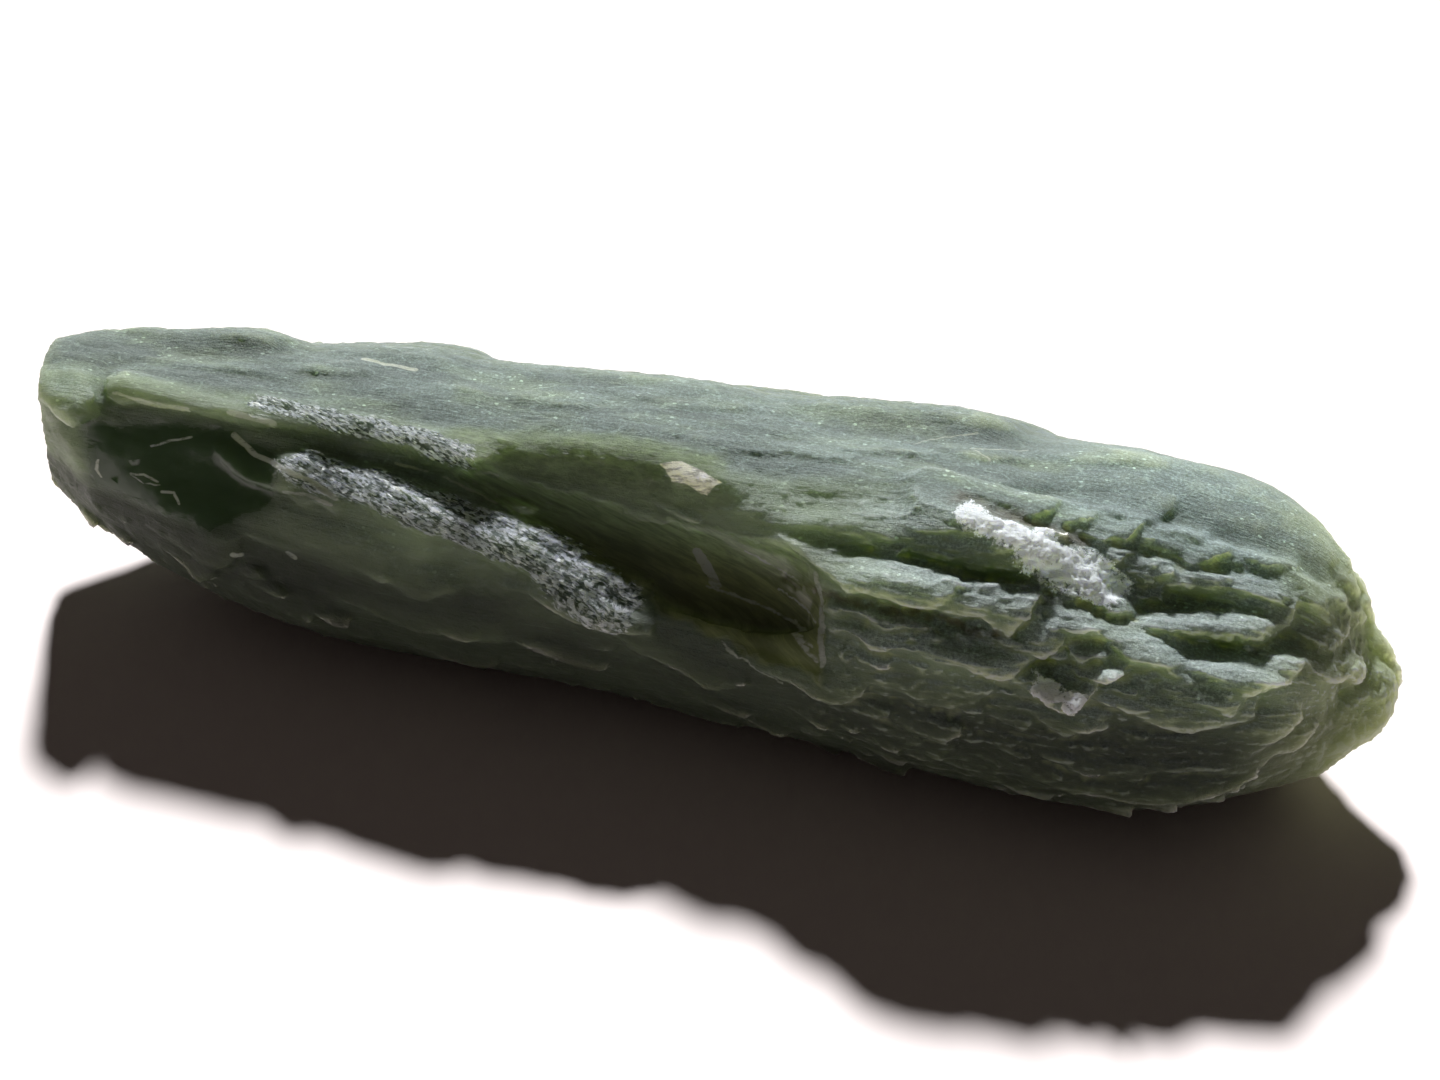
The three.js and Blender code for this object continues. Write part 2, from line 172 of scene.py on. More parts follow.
def sheetPlace(tree, position):
    # unrolled place of a point given in mm
    x, y, z = splitVector(tree, position)
    sunk = product(tree, most(tree, minus(tree, x, layout["sinksFrom"]), 0.0), layout["slope"])
    height = total(tree, minus(tree, z, layout["heartZ"]), sunk)
    depth = minus(tree, y, layout["heartY"])
    around = calc(tree, "DEGREES", calc(tree, "ARCTAN2", depth, height))
    turn = total(tree, around, 90.0)
    along = total(tree, x, layout["alongShift"])
    return joinVector(tree, along, product(tree, turn, layout["perTurn"])), along, turn


def onSheet(point):
    return (point[0], point[1] * layout["perTurn"], 0.0)


def nearPath(tree, place, path, reach, soft):
    # 1 along a path of [along, turn] points, 0 farther off than its reach
    nearest = None
    for start, end in zip(path, path[1:]):
        start, end = Vector(onSheet(start)), Vector(onSheet(end))
        run = end - start
        offset = vectorCalc(tree, "SUBTRACT", place, tuple(start))
        onRun = vectorCalc(tree, "DOT_PRODUCT", offset, tuple(run))
        share = calc(tree, "DIVIDE", onRun, run.length_squared, clamp=True)
        foot = vectorCalc(tree, "SCALE", tuple(run), scale=share)
        distance = vectorCalc(tree, "DISTANCE", offset, foot)
        nearest = distance if nearest is None else least(tree, nearest, distance)
    return rise(tree, nearest, reach - soft, reach + soft, 1.0, 0.0)


def insideCorners(tree, place, corners, soft):
    # 1 inside a convex outline of [along, turn] corners, clockwise seen from outside
    depth = None
    for start, end in zip(corners, corners[1:] + corners[:1]):
        start, end = Vector(onSheet(start)), Vector(onSheet(end))
        run = (end - start).normalized()
        inward = Vector((run.y, -run.x, 0))
        reach = minus(tree, vectorCalc(tree, "DOT_PRODUCT", place, tuple(inward)), inward.dot(start))
        depth = reach if depth is None else least(tree, depth, reach)
    return rise(tree, depth, -soft, soft)


outlines = {       # convex corners as [along, turn], softness of the edge in mm
    "scoop": ([[-10.4, 53], [-8.6, 60], [6.0, 46], [7.4, 34], [7.9, 7], [2.2, 11], [-1.8, 17], [-6.5, 39]],
              0.3),
    "glassyEnd": ([[-26.8, 50], [-20, 57], [-16.5, 46], [-17.5, 22], [-20, 7], [-26.4, 10]], 0.5),
    "topSlab": ([[11, 84], [11, 140], [28, 140], [28.5, 84], [24, 80]], 0.5),
    "greenWedge": ([[-10, 60], [-10, 74], [-3, 80], [1.5, 78], [2.5, 60], [1, 56]], 0.7),
}

paths = {          # points as [along, turn], reach to each side and softness in mm
    "sparkleRidge": ([[-16, 43.5], [-12.5, 41], [-9.7, 35], [-7, 30.5], [-4.8, 26.5], [-3.3, 19.5],
                      [-1.4, 13.5]], 1.05, 0.5),
    "upperSparkle": ([[-18.6, 70], [-16, 68], [-13.6, 67.5], [-11.5, 65.5], [-9.2, 61.5]], 0.62, 0.42),
    "chalk": ([[12.7, 65.5], [14.4, 61.5], [16, 57], [17.5, 55], [19, 52]], 0.68, 0.5),
    "chalkBroad": ([[15.8, 57.8], [17.3, 55.4], [18.5, 53.2]], 1.15, 0.5),
    "chalkSpot": ([[16.6, 17.5], [17.6, 16], [18.4, 17]], 0.3, 0.12),
    "crevice": ([[12.2, 70], [14.2, 68.5], [15.8, 67], [17.2, 67]], 0.35, 0.35),
    "lipCrack": ([[5.5, 33], [10, 31.5], [14.8, 30]], 0.12, 0.2),
}

raisedPaths = {    # the same, for what is raised or sunk before the blades go on
    "ridgeCrest": ([[-16, 40], [-12.5, 36], [-9.8, 30]], 0.9, 0.8),
    "ridgeHollow": ([[-15, 54.5], [-12.5, 53], [-10.6, 51]], 0.5, 0.6),
    "chalkShelf": ([[14.6, 57.5], [16.4, 55.5], [18, 53.5]], 0.5, 0.5),
    "shoulder": ([[19, 120], [23, 120], [26.8, 116]], 3.0, 2.9),
    "bladeGap": ([[8.5, 58], [11, 60.5], [13, 61.5], [15.5, 60], [19.2, 60], [22, 62], [24.6, 64]],
                 0.85, 0.8),
    "filled": ([[11.5, 74], [16.5, 71], [19.5, 71], [22.5, 72], [25.5, 74]], 1.6, 0.8),
    "slabEdge": ([[11.5, 88], [16.5, 87], [19.5, 87], [22.5, 88], [25.5, 90]], 0.7, 0.9),
}


def regionMasks(tree, position):
    # 1 inside each region and 0 outside; top, underside and shaggy face are plain ramps
    sheet, along, turn = sheetPlace(tree, position)
    shift = shake(tree, position, 0.75, 3.0, 0.6)
    wandered = vectorCalc(tree, "ADD", sheet, vectorCalc(tree, "SCALE", shift, scale=layout["edgeWander"]))
    found = {"sheet": sheet, "along": along, "turn": turn}
    for name, (corners, soft) in outlines.items():
        found[name] = insideCorners(tree, wandered, corners, soft)
    path = {name: nearPath(tree, wandered, *settings) for name, settings in paths.items()}
    found["sparkle"] = most(tree, path["sparkleRidge"], path["upperSparkle"])
    found["chalk"] = most(tree, path["chalk"], path["chalkBroad"], path["chalkSpot"])
    crack = most(tree, path["crevice"], path["lipCrack"])
    found["crevice"] = product(tree, crack, opposite(tree, found["chalk"]))
    found["top"] = product(tree, rise(tree, turn, 62.0, 78.0), rise(tree, turn, 150.0, 190.0, 1.0, 0.3))
    found["under"] = most(tree, rise(tree, turn, 24.0, 0.0), rise(tree, turn, 205.0, 235.0))
    facing = product(tree, rise(tree, turn, 88.0, 72.0), rise(tree, turn, -30.0, -16.0))
    found["shaggy"] = product(tree, rise(tree, along, 5.0, 11.0), facing)
    return found


def newSocket(tree, name, kind, value=None, direction="INPUT"):
    socket = tree.interface.new_socket(name, in_out=direction, socket_type="NodeSocket" + kind)
    if value is not None:
        socket.default_value = value


def stoneTree(name, inputs):
    # a modifier tree with its named inputs, and where the regions lie in it
    tree = bpy.data.node_groups.new(name, "GeometryNodeTree")
    tree.is_modifier = True
    newSocket(tree, "Geometry", "Geometry")
    for label, kind, value in inputs:
        newSocket(tree, label, kind, value)
    newSocket(tree, "Geometry", "Geometry", direction="OUTPUT")
    given = tree.nodes.new("NodeGroupInput").outputs
    position = addNode(tree, "GeometryNodeInputPosition").outputs[0]
    return tree, given, position, regionMasks(tree, position)


def setInput(modifier, name, value):
    for item in modifier.node_group.interface.items_tree:
        if item.item_type == "SOCKET" and item.in_out == "INPUT" and item.name == name:
            modifier[item.identifier] = value


def normalOf(tree):
    return addNode(tree, "GeometryNodeInputNormal").outputs[0]


def blur(tree, value, rounds, weight=1.0):
    settings = {"Value": value, "Iterations": rounds, "Weight": weight}
    return addNode(tree, "GeometryNodeBlurAttribute", settings, data_type="FLOAT_VECTOR").outputs[0]


def moved(tree, geometry, offset):
    return addNode(tree, "GeometryNodeSetPosition", {"Geometry": geometry, "Offset": offset}).outputs[0]


# the relief of the stone: blades, flakes, fibres, pits

relief = {
    "coarseVoxel": 0.26,       # mm, the even mesh that is settled first
    "voxel": 0.11,             # mm, the mesh that fuses the blades
    "mergeWithin": 0.002,      # mm, points of the part that are one
    "insideBox": 0.004,        # mm kept clear inside the part's box
    "smoothing": 0.4,
    "smoothRounds": 1,
    "strayPoints": 20000.0,    # a crumb with fewer points goes
    "triangles": 192000,
    "shaggyWeight": 0.25,      # how readily the shaggy face is thinned, the rest counts 1
    "shaggyTurns": (-20, 88),
    "shaggyFrom": 1,
    "ridgeTurn": 19.0,         # degrees, how the steps of the sparkling ridge run
}

reliefHeights = {              # mm, inputs of the relief tree
    "waviness": 0.2,           # how far edges wander sideways
    "flakeHeight": 0.07,       # low tilted flakes all over
    "chipHeight": 0.035,       # smallest chips made as geometry
    "fibreHeight": 0.03,       # fine fibres along the stone
    "pitDepth": 0.04,          # dimples of the weathered top
    "stepHeight": 0.24,        # bright steps of the sparkling ridge
    "chalkHeight": 0.3,
    "swell": 0.14,             # slow swelling of the whole skin
    "grooveDepth": 0.14,       # the crevice
    "tipLobes": 0.95,          # lumps of the right tip
    "skinDepth": 0.1,          # the whole skin sinks by this
    "breakLift": 0.08,         # the smooth breaks come back up
}


def shingles(tree, sheet, length, width, down, lean, uneven, seed):
    # tilted cells that overlap like shingles, free towards the tip and down the slope
    shifted = vectorCalc(tree, "ADD", sheet, (seed, seed * 2.3, 0.0))
    push = shake(tree, shifted, 0.9 / length, 3.0, 0.65)
    push = vectorCalc(tree, "MULTIPLY", push, (length * 0.9, width * 1.1, 0.0))
    pushed = vectorCalc(tree, "ADD", sheet, push)
    place = vectorCalc(tree, "MULTIPLY", vectorCalc(tree, "ADD", pushed, (seed * 7.1, seed * 3.7, 0.0)),
                       (1.0 / length, 1.0 / width, 0.0))
    cell = cells(tree, place)
    edge = cells(tree, place, "DISTANCE_TO_EDGE").outputs["Distance"]
    local = splitVector(tree, vectorCalc(tree, "SUBTRACT", place, cell.outputs["Position"]))
    lot = splitVector(tree, cell.outputs["Color"])[0]    # a number of its own for each cell
    height = total(tree, product(tree, local[0], lean), product(tree, local[1], product(tree, down, -0.75)),
                   0.45, product(tree, minus(tree, lot, 0.5), uneven))
    rounded = rise(tree, edge, 0.0, 0.16, 0.25, 1.0)
    return product(tree, least(tree, most(tree, height, 0.0), 1.2), rounded)


# blades and flakes that lie on the stone like shingles

bladeKinds = {    # sizes are the smallest and the largest (length, width, thickness) in mm
    "big": {"apart": 2.0, "density": 0.12, "sizes": ((2.6, 0.9, 0.25), (5.0, 1.5, 0.42)), "seed": 5,
            "amount": (0.2, 0.12)},     # off the shaggy face and on it
    "middle": {"apart": 0.8, "density": 0.8, "sizes": ((1.2, 0.45, 0.18), (2.4, 0.85, 0.34)), "seed": 9,
               "amount": (0.12, 1.0)},
    "small": {"apart": 0.34, "density": 3.2, "sizes": ((0.5, 0.22, 0.09), (1.1, 0.42, 0.18)), "seed": 14,
              "amount": (0.12, 1.0)},
}


def faceOutward(mesh):
    work = bmesh.new()
    work.from_mesh(mesh)
    bmesh.ops.recalc_face_normals(work, faces=work.faces)
    work.to_mesh(mesh)
    work.free()


def bladeTemplate(name, seed, mirrored):
    # unit blade: root at 0, blunt free tip at 1, free lower edge on the -Y side
    dice = random.Random(seed)
    stations = [0.12, 0.3, 0.5, 0.68, 0.82, 0.92, 0.98]
    profile = [(-1.0, 0.55), (-0.8, 1.0), (-0.3, 0.98), (0.3, 0.72), (1.0, 0.1), (0.5, -0.7), (-0.4, -0.8)]
    bend = dice.uniform(-0.12, 0.12)
    verts, faces = [(0.0, 0.2, -0.35)], []
    for share in stations:
        wide = min(1.0, (share * 1.7) ** 0.7)
        if share > 0.66:
            wide *= math.sqrt(max(0.0, 1.0 - ((share - 0.66) / 0.35) ** 2)) * 0.9 + 0.1
        high = 0.2 + 0.8 * min(1.0, share * 1.25)
        drift = bend * math.sin(math.pi * share) + dice.uniform(-0.05, 0.05)
        for across, up in profile:
            y = 0.5 * (across * wide * (1 + dice.uniform(-0.12, 0.12)) + drift * 2)
            verts.append((share + dice.uniform(-0.012, 0.012), y, up * high if up > 0 else up))
    count = len(profile)
    end = len(verts)
    verts.append((1.0, dice.uniform(-0.1, 0.1), 0.25))
    for k in range(count):
        n = (k + 1) % count
        faces.append((0, 1 + n, 1 + k))
        for i in range(len(stations) - 1):
            a, b = 1 + i * count + k, 1 + i * count + n
            faces.append((a, b, b + count, a + count))
        last = 1 + (len(stations) - 1) * count
        faces.append((last + k, last + n, end))
    if mirrored:
        verts = [(x, -y, z) for x, y, z in verts]
    mesh = bpy.data.meshes.new(name)
    mesh.from_pydata(verts, [], faces)
    faceOutward(mesh)
    return bpy.data.objects.new(name, mesh)


def scatterBlades(tree, base, templates, kind, density, turned, seed):
    spots = addNode(tree, "GeometryNodeDistributePointsOnFaces", {
        "Mesh": base, "Distance Min": kind["apart"], "Density Max": kind["density"],
        "Density Factor": density, "Seed": seed,
    }, distribute_method="POISSON")
    lay = addNode(tree, "FunctionNodeRandomValue",
                  {"Seed": seed + 1, 2: product(tree, turned, -1.0), 3: turned}, data_type="FLOAT")
    heading = joinVector(tree, 1.0, 0.0, lay.outputs[1])
    upright = addNode(tree, "FunctionNodeAlignRotationToVector", {"Vector": spots.outputs["Normal"]},
                      axis="Z")
    laid = addNode(tree, "FunctionNodeAlignRotationToVector",
                   {"Rotation": upright.outputs[0], "Vector": heading}, axis="X", pivot_axis="Z")
    smallest, largest = kind["sizes"]
    size = addNode(tree, "FunctionNodeRandomValue", {"Seed": seed + 2, 0: smallest, 1: largest},
                   data_type="FLOAT_VECTOR")
    shapes = tree.nodes.new("GeometryNodeJoinGeometry")
    for template in templates:
        info = addNode(tree, "GeometryNodeObjectInfo", {"Object": template, "As Instance": True})
        tree.links.new(info.outputs["Geometry"], shapes.inputs[0])
    placed = addNode(tree, "GeometryNodeInstanceOnPoints", {
        "Points": spots.outputs["Points"], "Instance": shapes.outputs[0], "Pick Instance": True,
        "Rotation": laid.outputs[0], "Scale": size.outputs[0],
    })
    return placed.outputs[0]


def buildSettleTree():
    # smooths the top, the scoop and the breaks into broad faces before the blades go on
    tree, given, position, masks = stoneTree("stoneSettle", [
        ("Rounds", "Int", 44), ("Everywhere", "Float", 0.92), ("Fill", "Float", 0.7),
        ("Bulge", "Float", 0.5), ("Dip", "Float", 0.34), ("Crest", "Float", 0.42),
    ])
    turn, along, rounds = masks["turn"], masks["along"], given["Rounds"]
    ends = most(tree, rise(tree, along, -24.0, -27.5), rise(tree, along, 27.0, 30.0, 0.0, 0.6))
    settled = product(tree, given["Everywhere"], fade(tree, masks["scoop"], 1.0, 0.5),
                      fade(tree, ends, 1.0, 0.3))
    raised = {name: nearPath(tree, masks["sheet"], *settings) for name, settings in raisedPaths.items()}
    filled = raised["filled"]
    blurred = position
    for weight, times in ((filled, product(tree, rounds, 5.0)), (masks["shaggy"], rounds), (1.0, rounds)):
        blurred = blur(tree, blurred, times, weight)
    gap = vectorCalc(tree, "SCALE", vectorCalc(tree, "SUBTRACT", blurred, position), scale=settled)
    calm = moved(tree, given["Geometry"], gap)

    # the front leans out low down and in higher up, between the scoop and the tip
    bulge = product(tree, rise(tree, turn, 2.0, 24.0), rise(tree, turn, 50.0, 34.0), given["Bulge"])
    dipEnd = rise(tree, turn, rise(tree, along, 18.5, 21.5, 74.0, 86.0),
                  rise(tree, along, 18.5, 21.5, 61.0, 70.0))
    dip = product(tree, rise(tree, turn, 44.0, 56.0), dipEnd, rise(tree, along, 16.5, 19.5, 0.3, 1.0),
                  given["Dip"])
    leaned = product(tree, minus(tree, bulge, dip), rise(tree, along, 3.0, 9.0),
                     rise(tree, along, 29.0, 25.0))

    crest = minus(tree, raised["ridgeCrest"], product(tree, raised["ridgeHollow"], 0.45))
    edged = product(tree, raised["slabEdge"], rise(tree, along, 17.0, 20.0, 0.4, 0.06))
    bridged = product(tree, raised["bladeGap"], rise(tree, along, 15.0, 18.5, 0.22, 0.12))
    shelf = product(tree, raised["chalkShelf"], 0.4)
    shoulder = product(tree, raised["shoulder"], rise(tree, along, 20.0, 24.0, 0.52, 0.72))
    push = total(tree, leaned, bridged, shelf, shoulder,
                 product(tree, minus(tree, filled, edged), given["Fill"]),
                 product(tree, crest, given["Crest"]))
    lift = vectorCalc(tree, "SCALE", normalOf(tree), scale=push)
    addNode(tree, "NodeGroupOutput", {0: moved(tree, calm, lift)})
    return tree


def buildScatterTree(templates, mirrored):
    # loose blades over the rough skin; those of the back are mirrored, so their free edge stays below
    tree, given, _, masks = stoneTree("stoneBlades", [("Lay Spread", "Float", 0.22)])
    turn, along = masks["turn"], masks["along"]
    bare = most(tree, masks["scoop"], masks["glassyEnd"], masks["topSlab"], masks["sparkle"], masks["chalk"],
                fade(tree, masks["top"], 0.0, 0.96), rise(tree, along, 23.5, 25.0),
                product(tree, rise(tree, turn, 110.0, 112.0), rise(tree, along, 19.5, 21.0)))
    endFace = calc(tree, "ABSOLUTE", splitVector(tree, normalOf(tree))[0])
    covered = product(tree, opposite(tree, bare), rise(tree, endFace, 0.5, 0.75, 1.0, 0.0))
    frontSide = rise(tree, turn, 110.0, 112.0, 1.0, 0.0)
    backSide = opposite(tree, frontSide)
    joined = tree.nodes.new("GeometryNodeJoinGeometry")
    tree.links.new(given["Geometry"], joined.inputs[0])
    for kind in bladeKinds.values():
        amount = product(tree, covered, fade(tree, masks["shaggy"], *kind["amount"]))
        sides = ((frontSide, templates, kind["seed"]), (backSide, mirrored, kind["seed"] + 100))
        for side, shapes, seed in sides:
            blades = scatterBlades(tree, given["Geometry"], shapes, kind, product(tree, amount, side),
                                   given["Lay Spread"], seed)
            tree.links.new(blades, joined.inputs[0])
    real = addNode(tree, "GeometryNodeRealizeInstances", {0: joined.outputs[0]})
    addNode(tree, "NodeGroupOutput", {0: real.outputs[0]})
    return tree


# Blades with a place of their own, as (edge, width, thickness) in mm. The edge is the free lower
# one, from the root to the tip as [along, turn]; the blade lies up the slope from it by its width.
laidBlades = [
    # above the crevice
    ([[2.2, 66], [6, 67], [8.5, 70], [10, 69]], 1.8, 0.17),
    ([[8.8, 68], [10.6, 66.5], [12.4, 69]], 1.3, 0.22),
    ([[7, 82], [9.6, 78], [11.6, 80]], 1.4, 0.2),
    ([[12, 76], [14.4, 71], [15.5, 71.5], [16.1, 76]], 1.7, 0.4),
    ([[15.4, 75], [16.8, 72.5], [17.7, 77]], 0.9, 0.35),
    ([[16.6, 71], [18.4, 70.5], [19.2, 74], [19.7, 80]], 1.1, 0.4),
    ([[14.5, 82], [17.5, 82], [19.4, 82], [20.6, 88]], 1.7, 0.3),
    ([[10.5, 91], [13, 87], [15.5, 88]], 1.4, 0.25),
    ([[19.6, 83], [21, 80], [22.3, 84]], 1.0, 0.3),
    ([[20.2, 72], [21.8, 70], [23.2, 77]], 1.2, 0.4),
    ([[17.8, 66.5], [18.8, 63.5], [19.6, 66]], 0.7, 0.35),
    ([[19, 66.5], [20, 64], [21, 66]], 0.7, 0.35),
    ([[23, 82], [25, 80], [26, 86]], 1.3, 0.25),
    # low ones on the top
    ([[-2, 86], [3, 83], [7.5, 84]], 1.4, 0.25),
    ([[3, 95], [7, 92], [10.8, 94]], 1.6, 0.25),
    ([[9, 104], [12, 100], [14.5, 103]], 1.4, 0.25),
    ([[14, 112], [17, 108], [20, 111]], 1.6, 0.2),
    ([[-12, 98], [-8, 95], [-4, 97]], 1.5, 0.2),
    ([[-6, 110], [-1, 106], [4, 109]], 1.8, 0.2),
    ([[-22, 100], [-18, 96], [-14.5, 99]], 1.6, 0.2),
    ([[-26, 92], [-22, 88], [-18, 90]], 1.3, 0.25),
    # small ones beside the chalky patch
    ([[19.2, 60.5], [20, 58], [20.7, 59.5]], 0.6, 0.4),
    ([[20.6, 62.5], [21.4, 60], [22.1, 62]], 0.6, 0.4),
    ([[19.0, 54], [20.2, 50], [21.0, 53]], 0.8, 0.45),
    ([[17.8, 47], [19, 42.5], [19.9, 41]], 1.2, 0.55),
    # the long blades below it
    ([[2.8, 58], [5, 54], [8, 52.5], [12, 51], [14, 50], [16.1, 47.5]], 2.4, 0.55),
    ([[12, 60], [14.4, 56], [16.4, 52]], 1.2, 0.3),
    ([[16, 49], [17.4, 45], [18.6, 42.5]], 1.4, 0.5),
    ([[4.4, 50], [7.6, 38], [9, 36], [11.2, 34], [13, 37]], 1.7, 1.05),
    ([[11, 38], [13.8, 34.5], [15.1, 33], [16.2, 38]], 1.5, 1.0),
    ([[7.4, 28], [9.6, 27], [11.9, 25.5]], 0.9, 0.75),
    ([[7.8, 22.5], [9.5, 21], [11.4, 20]], 0.8, 0.6),
    ([[11.5, 22], [14.5, 18], [16.6, 21]], 1.5, 0.9),
    ([[13, 28], [15.6, 25], [17.6, 27.5]], 1.4, 1.1),
    ([[16.6, 37], [17.8, 34.5], [19, 35]], 0.7, 0.7),
    ([[17.4, 29], [18.4, 26], [19.4, 27]], 0.8, 0.6),
    ([[18, 36], [20, 29], [22.3, 22]], 1.5, 0.8),
    ([[16.0, 15.5], [17.0, 12.5], [18.2, 13], [19.0, 16]], 0.9, 1.4),
    # the frosted tongues of the shaggy end
    ([[20.0, 42], [21.8, 39.5], [23.4, 39], [25, 43.5], [26.2, 53]], 2.3, 1.2),
    ([[22.4, 62], [24.4, 62], [26.2, 67]], 1.3, 0.5),
    ([[21.8, 28], [23.4, 24], [25.2, 24], [26.4, 27]], 1.3, 1.1),
    ([[24.2, 34], [25.6, 31], [26.8, 35]], 1.0, 0.8),
    ([[21.4, 21.5], [23.2, 16], [24.8, 16.5]], 1.2, 1.1),
    ([[25.4, 76], [27.2, 66.5], [28.4, 60]], 1.7, 0.5),
    ([[24.8, 59], [26.4, 52], [28, 52]], 1.3, 0.5),
    ([[26.4, 41], [28, 35], [29.2, 37]], 1.5, 0.7),
    # wavy ledges low on the shaggy end
    ([[16, 8], [18, 4], [19.8, 5]], 1.3, 0.6),
    ([[17.5, 17], [20.5, 12], [23, 8.5], [25.4, 10.5]], 1.7, 0.85),
    ([[22.8, 7], [25, 3.5], [27.2, 8]], 1.4, 0.8),
    ([[20.5, 0], [23.4, -3], [26.3, 0]], 1.4, 0.7),
    ([[18.5, -7], [22, -8.5], [26.5, -8]], 1.4, 0.7),
    ([[17, -15], [21.5, -18], [26, -15]], 1.4, 0.6),
    ([[25.0, 2], [26.4, -3], [27.8, -1]], 1.2, 0.5),
    ([[9, 10], [12, 7], [15, 8]], 1.4, 0.55),
    # below and beside the scoop
    ([[4.6, 7], [7.4, 1.5], [9.9, 3]], 1.4, 0.8),
    ([[-6.5, 13], [-3.4, 8], [0.6, 4]], 1.1, 0.6),
    ([[-1, 3], [1.8, -5], [4.5, -6]], 1.4, 0.5),
    ([[-12.4, 8], [-10, 3], [-8.1, 5]], 1.4, 0.5),
    ([[-15, -7], [-10, -11], [-6, -9]], 1.5, 0.35),
    # the thin end
    ([[-14, 64], [-20, 60.5], [-23.6, 60], [-25.6, 62], [-26.2, 67]], 1.5, 0.65),
    ([[-20.4, 46], [-18.0, 31], [-15.8, 37]], 1.5, 0.5),
    ([[-17.0, 32], [-15.6, 29], [-13.8, 28]], 0.8, 0.4),
    ([[-23.5, -1], [-20.6, -8], [-18.4, -3]], 1.7, 0.5),
    ([[-23, -12], [-21, -19], [-19.6, -14]], 1.2, 0.5),
    ([[-29.4, 58], [-27.6, 48], [-25.9, 47]], 1.5, 0.6),
]

laidShape = {
    "stations": 27,
    # across the blade from its free edge, and up
    "lip": [(0.02, -0.6), (-0.02, 0.25), (-0.02, 0.62), (0.02, 0.88), (0.10, 1.0),
            (0.24, 0.97), (0.45, 0.78), (0.72, 0.42), (0.98, 0.02), (0.7, -0.7)],
    "height": 0.8,           # share of the listed thickness
    "reach": 1.1,            # share of the listed width
    "wobble": 0.08,          # mm, unevenness of the free edge
    "lobes": 0.15,           # mm, slow waves of the free edge
    "closesFrom": 0.7,       # share of the length where the tip starts to close
    "seed": 77,
}


def curvePoint(points, share):
    # smooth point along a list of [along, turn] points
    count = len(points) - 1
    spot = min(share * count, count - 1e-6)
    i = int(spot)
    t = spot - i
    p = [points[max(0, min(count, i + k))] for k in (-1, 0, 1, 2)]
    return [0.5 * (2 * b + (c - a) * t + (2 * a - 5 * b + 4 * c - d) * t * t
                   + (3 * b - a - 3 * c + d) * t ** 3) for a, b, c, d in zip(*p)]


def heartPoint(along):
    x = along - layout["alongShift"]
    sunk = max(0.0, x - layout["sinksFrom"]) * layout["slope"]
    return Vector((x, layout["heartY"], layout["heartZ"] - sunk))


def skinPoint(skin, along, turn):
    # where the skin lies at a place of the sheet, and which way it faces
    middle = heartPoint(along)
    angle = math.radians(turn)
    outward = Vector((0, -math.cos(angle), math.sin(angle)))
    hit = skin.ray_cast(middle + outward * 20, -outward)
    if hit[0] is None:
        hit = skin.find_nearest(middle + outward * 4)
    return hit[0], hit[1]


def addLaidBlade(verts, faces, skin, blade, dice):
    edge, width, thick = blade
    lip, count, closes = laidShape["lip"], laidShape["stations"], laidShape["closesFrom"]
    phase, ragged = dice.uniform(0, 6.28), 0.0
    span = width * laidShape["reach"]
    first = len(verts)
    for i in range(count):
        share = 0.02 + 0.945 * (i / (count - 1)) ** 0.9
        along, turn = curvePoint(edge, share)
        wide = min(1.0, 0.25 + 1.3 * share)
        tuck = 0.0
        if share > closes:
            close = (share - closes) / 0.3
            rounding = math.sqrt(max(0.0, 1.0 - close ** 2.2))
            tuck = 0.5 * (1.0 - rounding)
            wide *= 0.12 + 0.88 * rounding
        high = laidShape["height"] * thick * (0.1 + 0.9 * min(1.0, share * 1.5) ** 0.8)
        high *= 1.0 - 0.7 * (max(0.0, share - closes) / 0.3) ** 1.5
        ragged = 0.45 * ragged + 0.55 * dice.uniform(-1, 1)
        wave = laidShape["lobes"] * math.sin(phase + share * 11.0) + ragged * laidShape["wobble"]
        radius = max((skinPoint(skin, along, turn)[0] - heartPoint(along)).length, 2.0)
        for across, up in lip:
            upslope = tuck * span + across * wide * span + wave * max(0.0, 1 - max(0.0, across) * 3)
            spot, normal = skinPoint(skin, along, turn + math.degrees(upslope / radius))
            verts.append(spot + normal * (up * high if up > 0 else up * 0.6))
    size = len(lip)
    for k in range(size):
        n = (k + 1) % size
        for i in range(count - 1):
            a, b = first + i * size + k, first + i * size + n
            faces.append((a, b, b + size, a + size))
    faces.append(tuple(first + k for k in range(size))[::-1])
    faces.append(tuple(first + (count - 1) * size + k for k in range(size)))


def addLaidBlades(mesh, skinMesh):
    # fuses later, so the blades may pass through the stone and each other
    smooth = bmesh.new()
    smooth.from_mesh(skinMesh)
    skin = BVHTree.FromBMesh(smooth)
    smooth.free()
    dice = random.Random(laidShape["seed"])
    verts, faces = [], []
    for blade in laidBlades:
        addLaidBlade(verts, faces, skin, blade, dice)
    extra = bpy.data.meshes.new("laidBlades")
    extra.from_pydata([tuple(v) for v in verts], [], faces)
    faceOutward(extra)
    work = bmesh.new()
    work.from_mesh(mesh)
    work.from_mesh(extra)
    work.to_mesh(mesh)
    work.free()
    bpy.data.meshes.remove(extra)
    print("blades laid:", len(laidBlades))


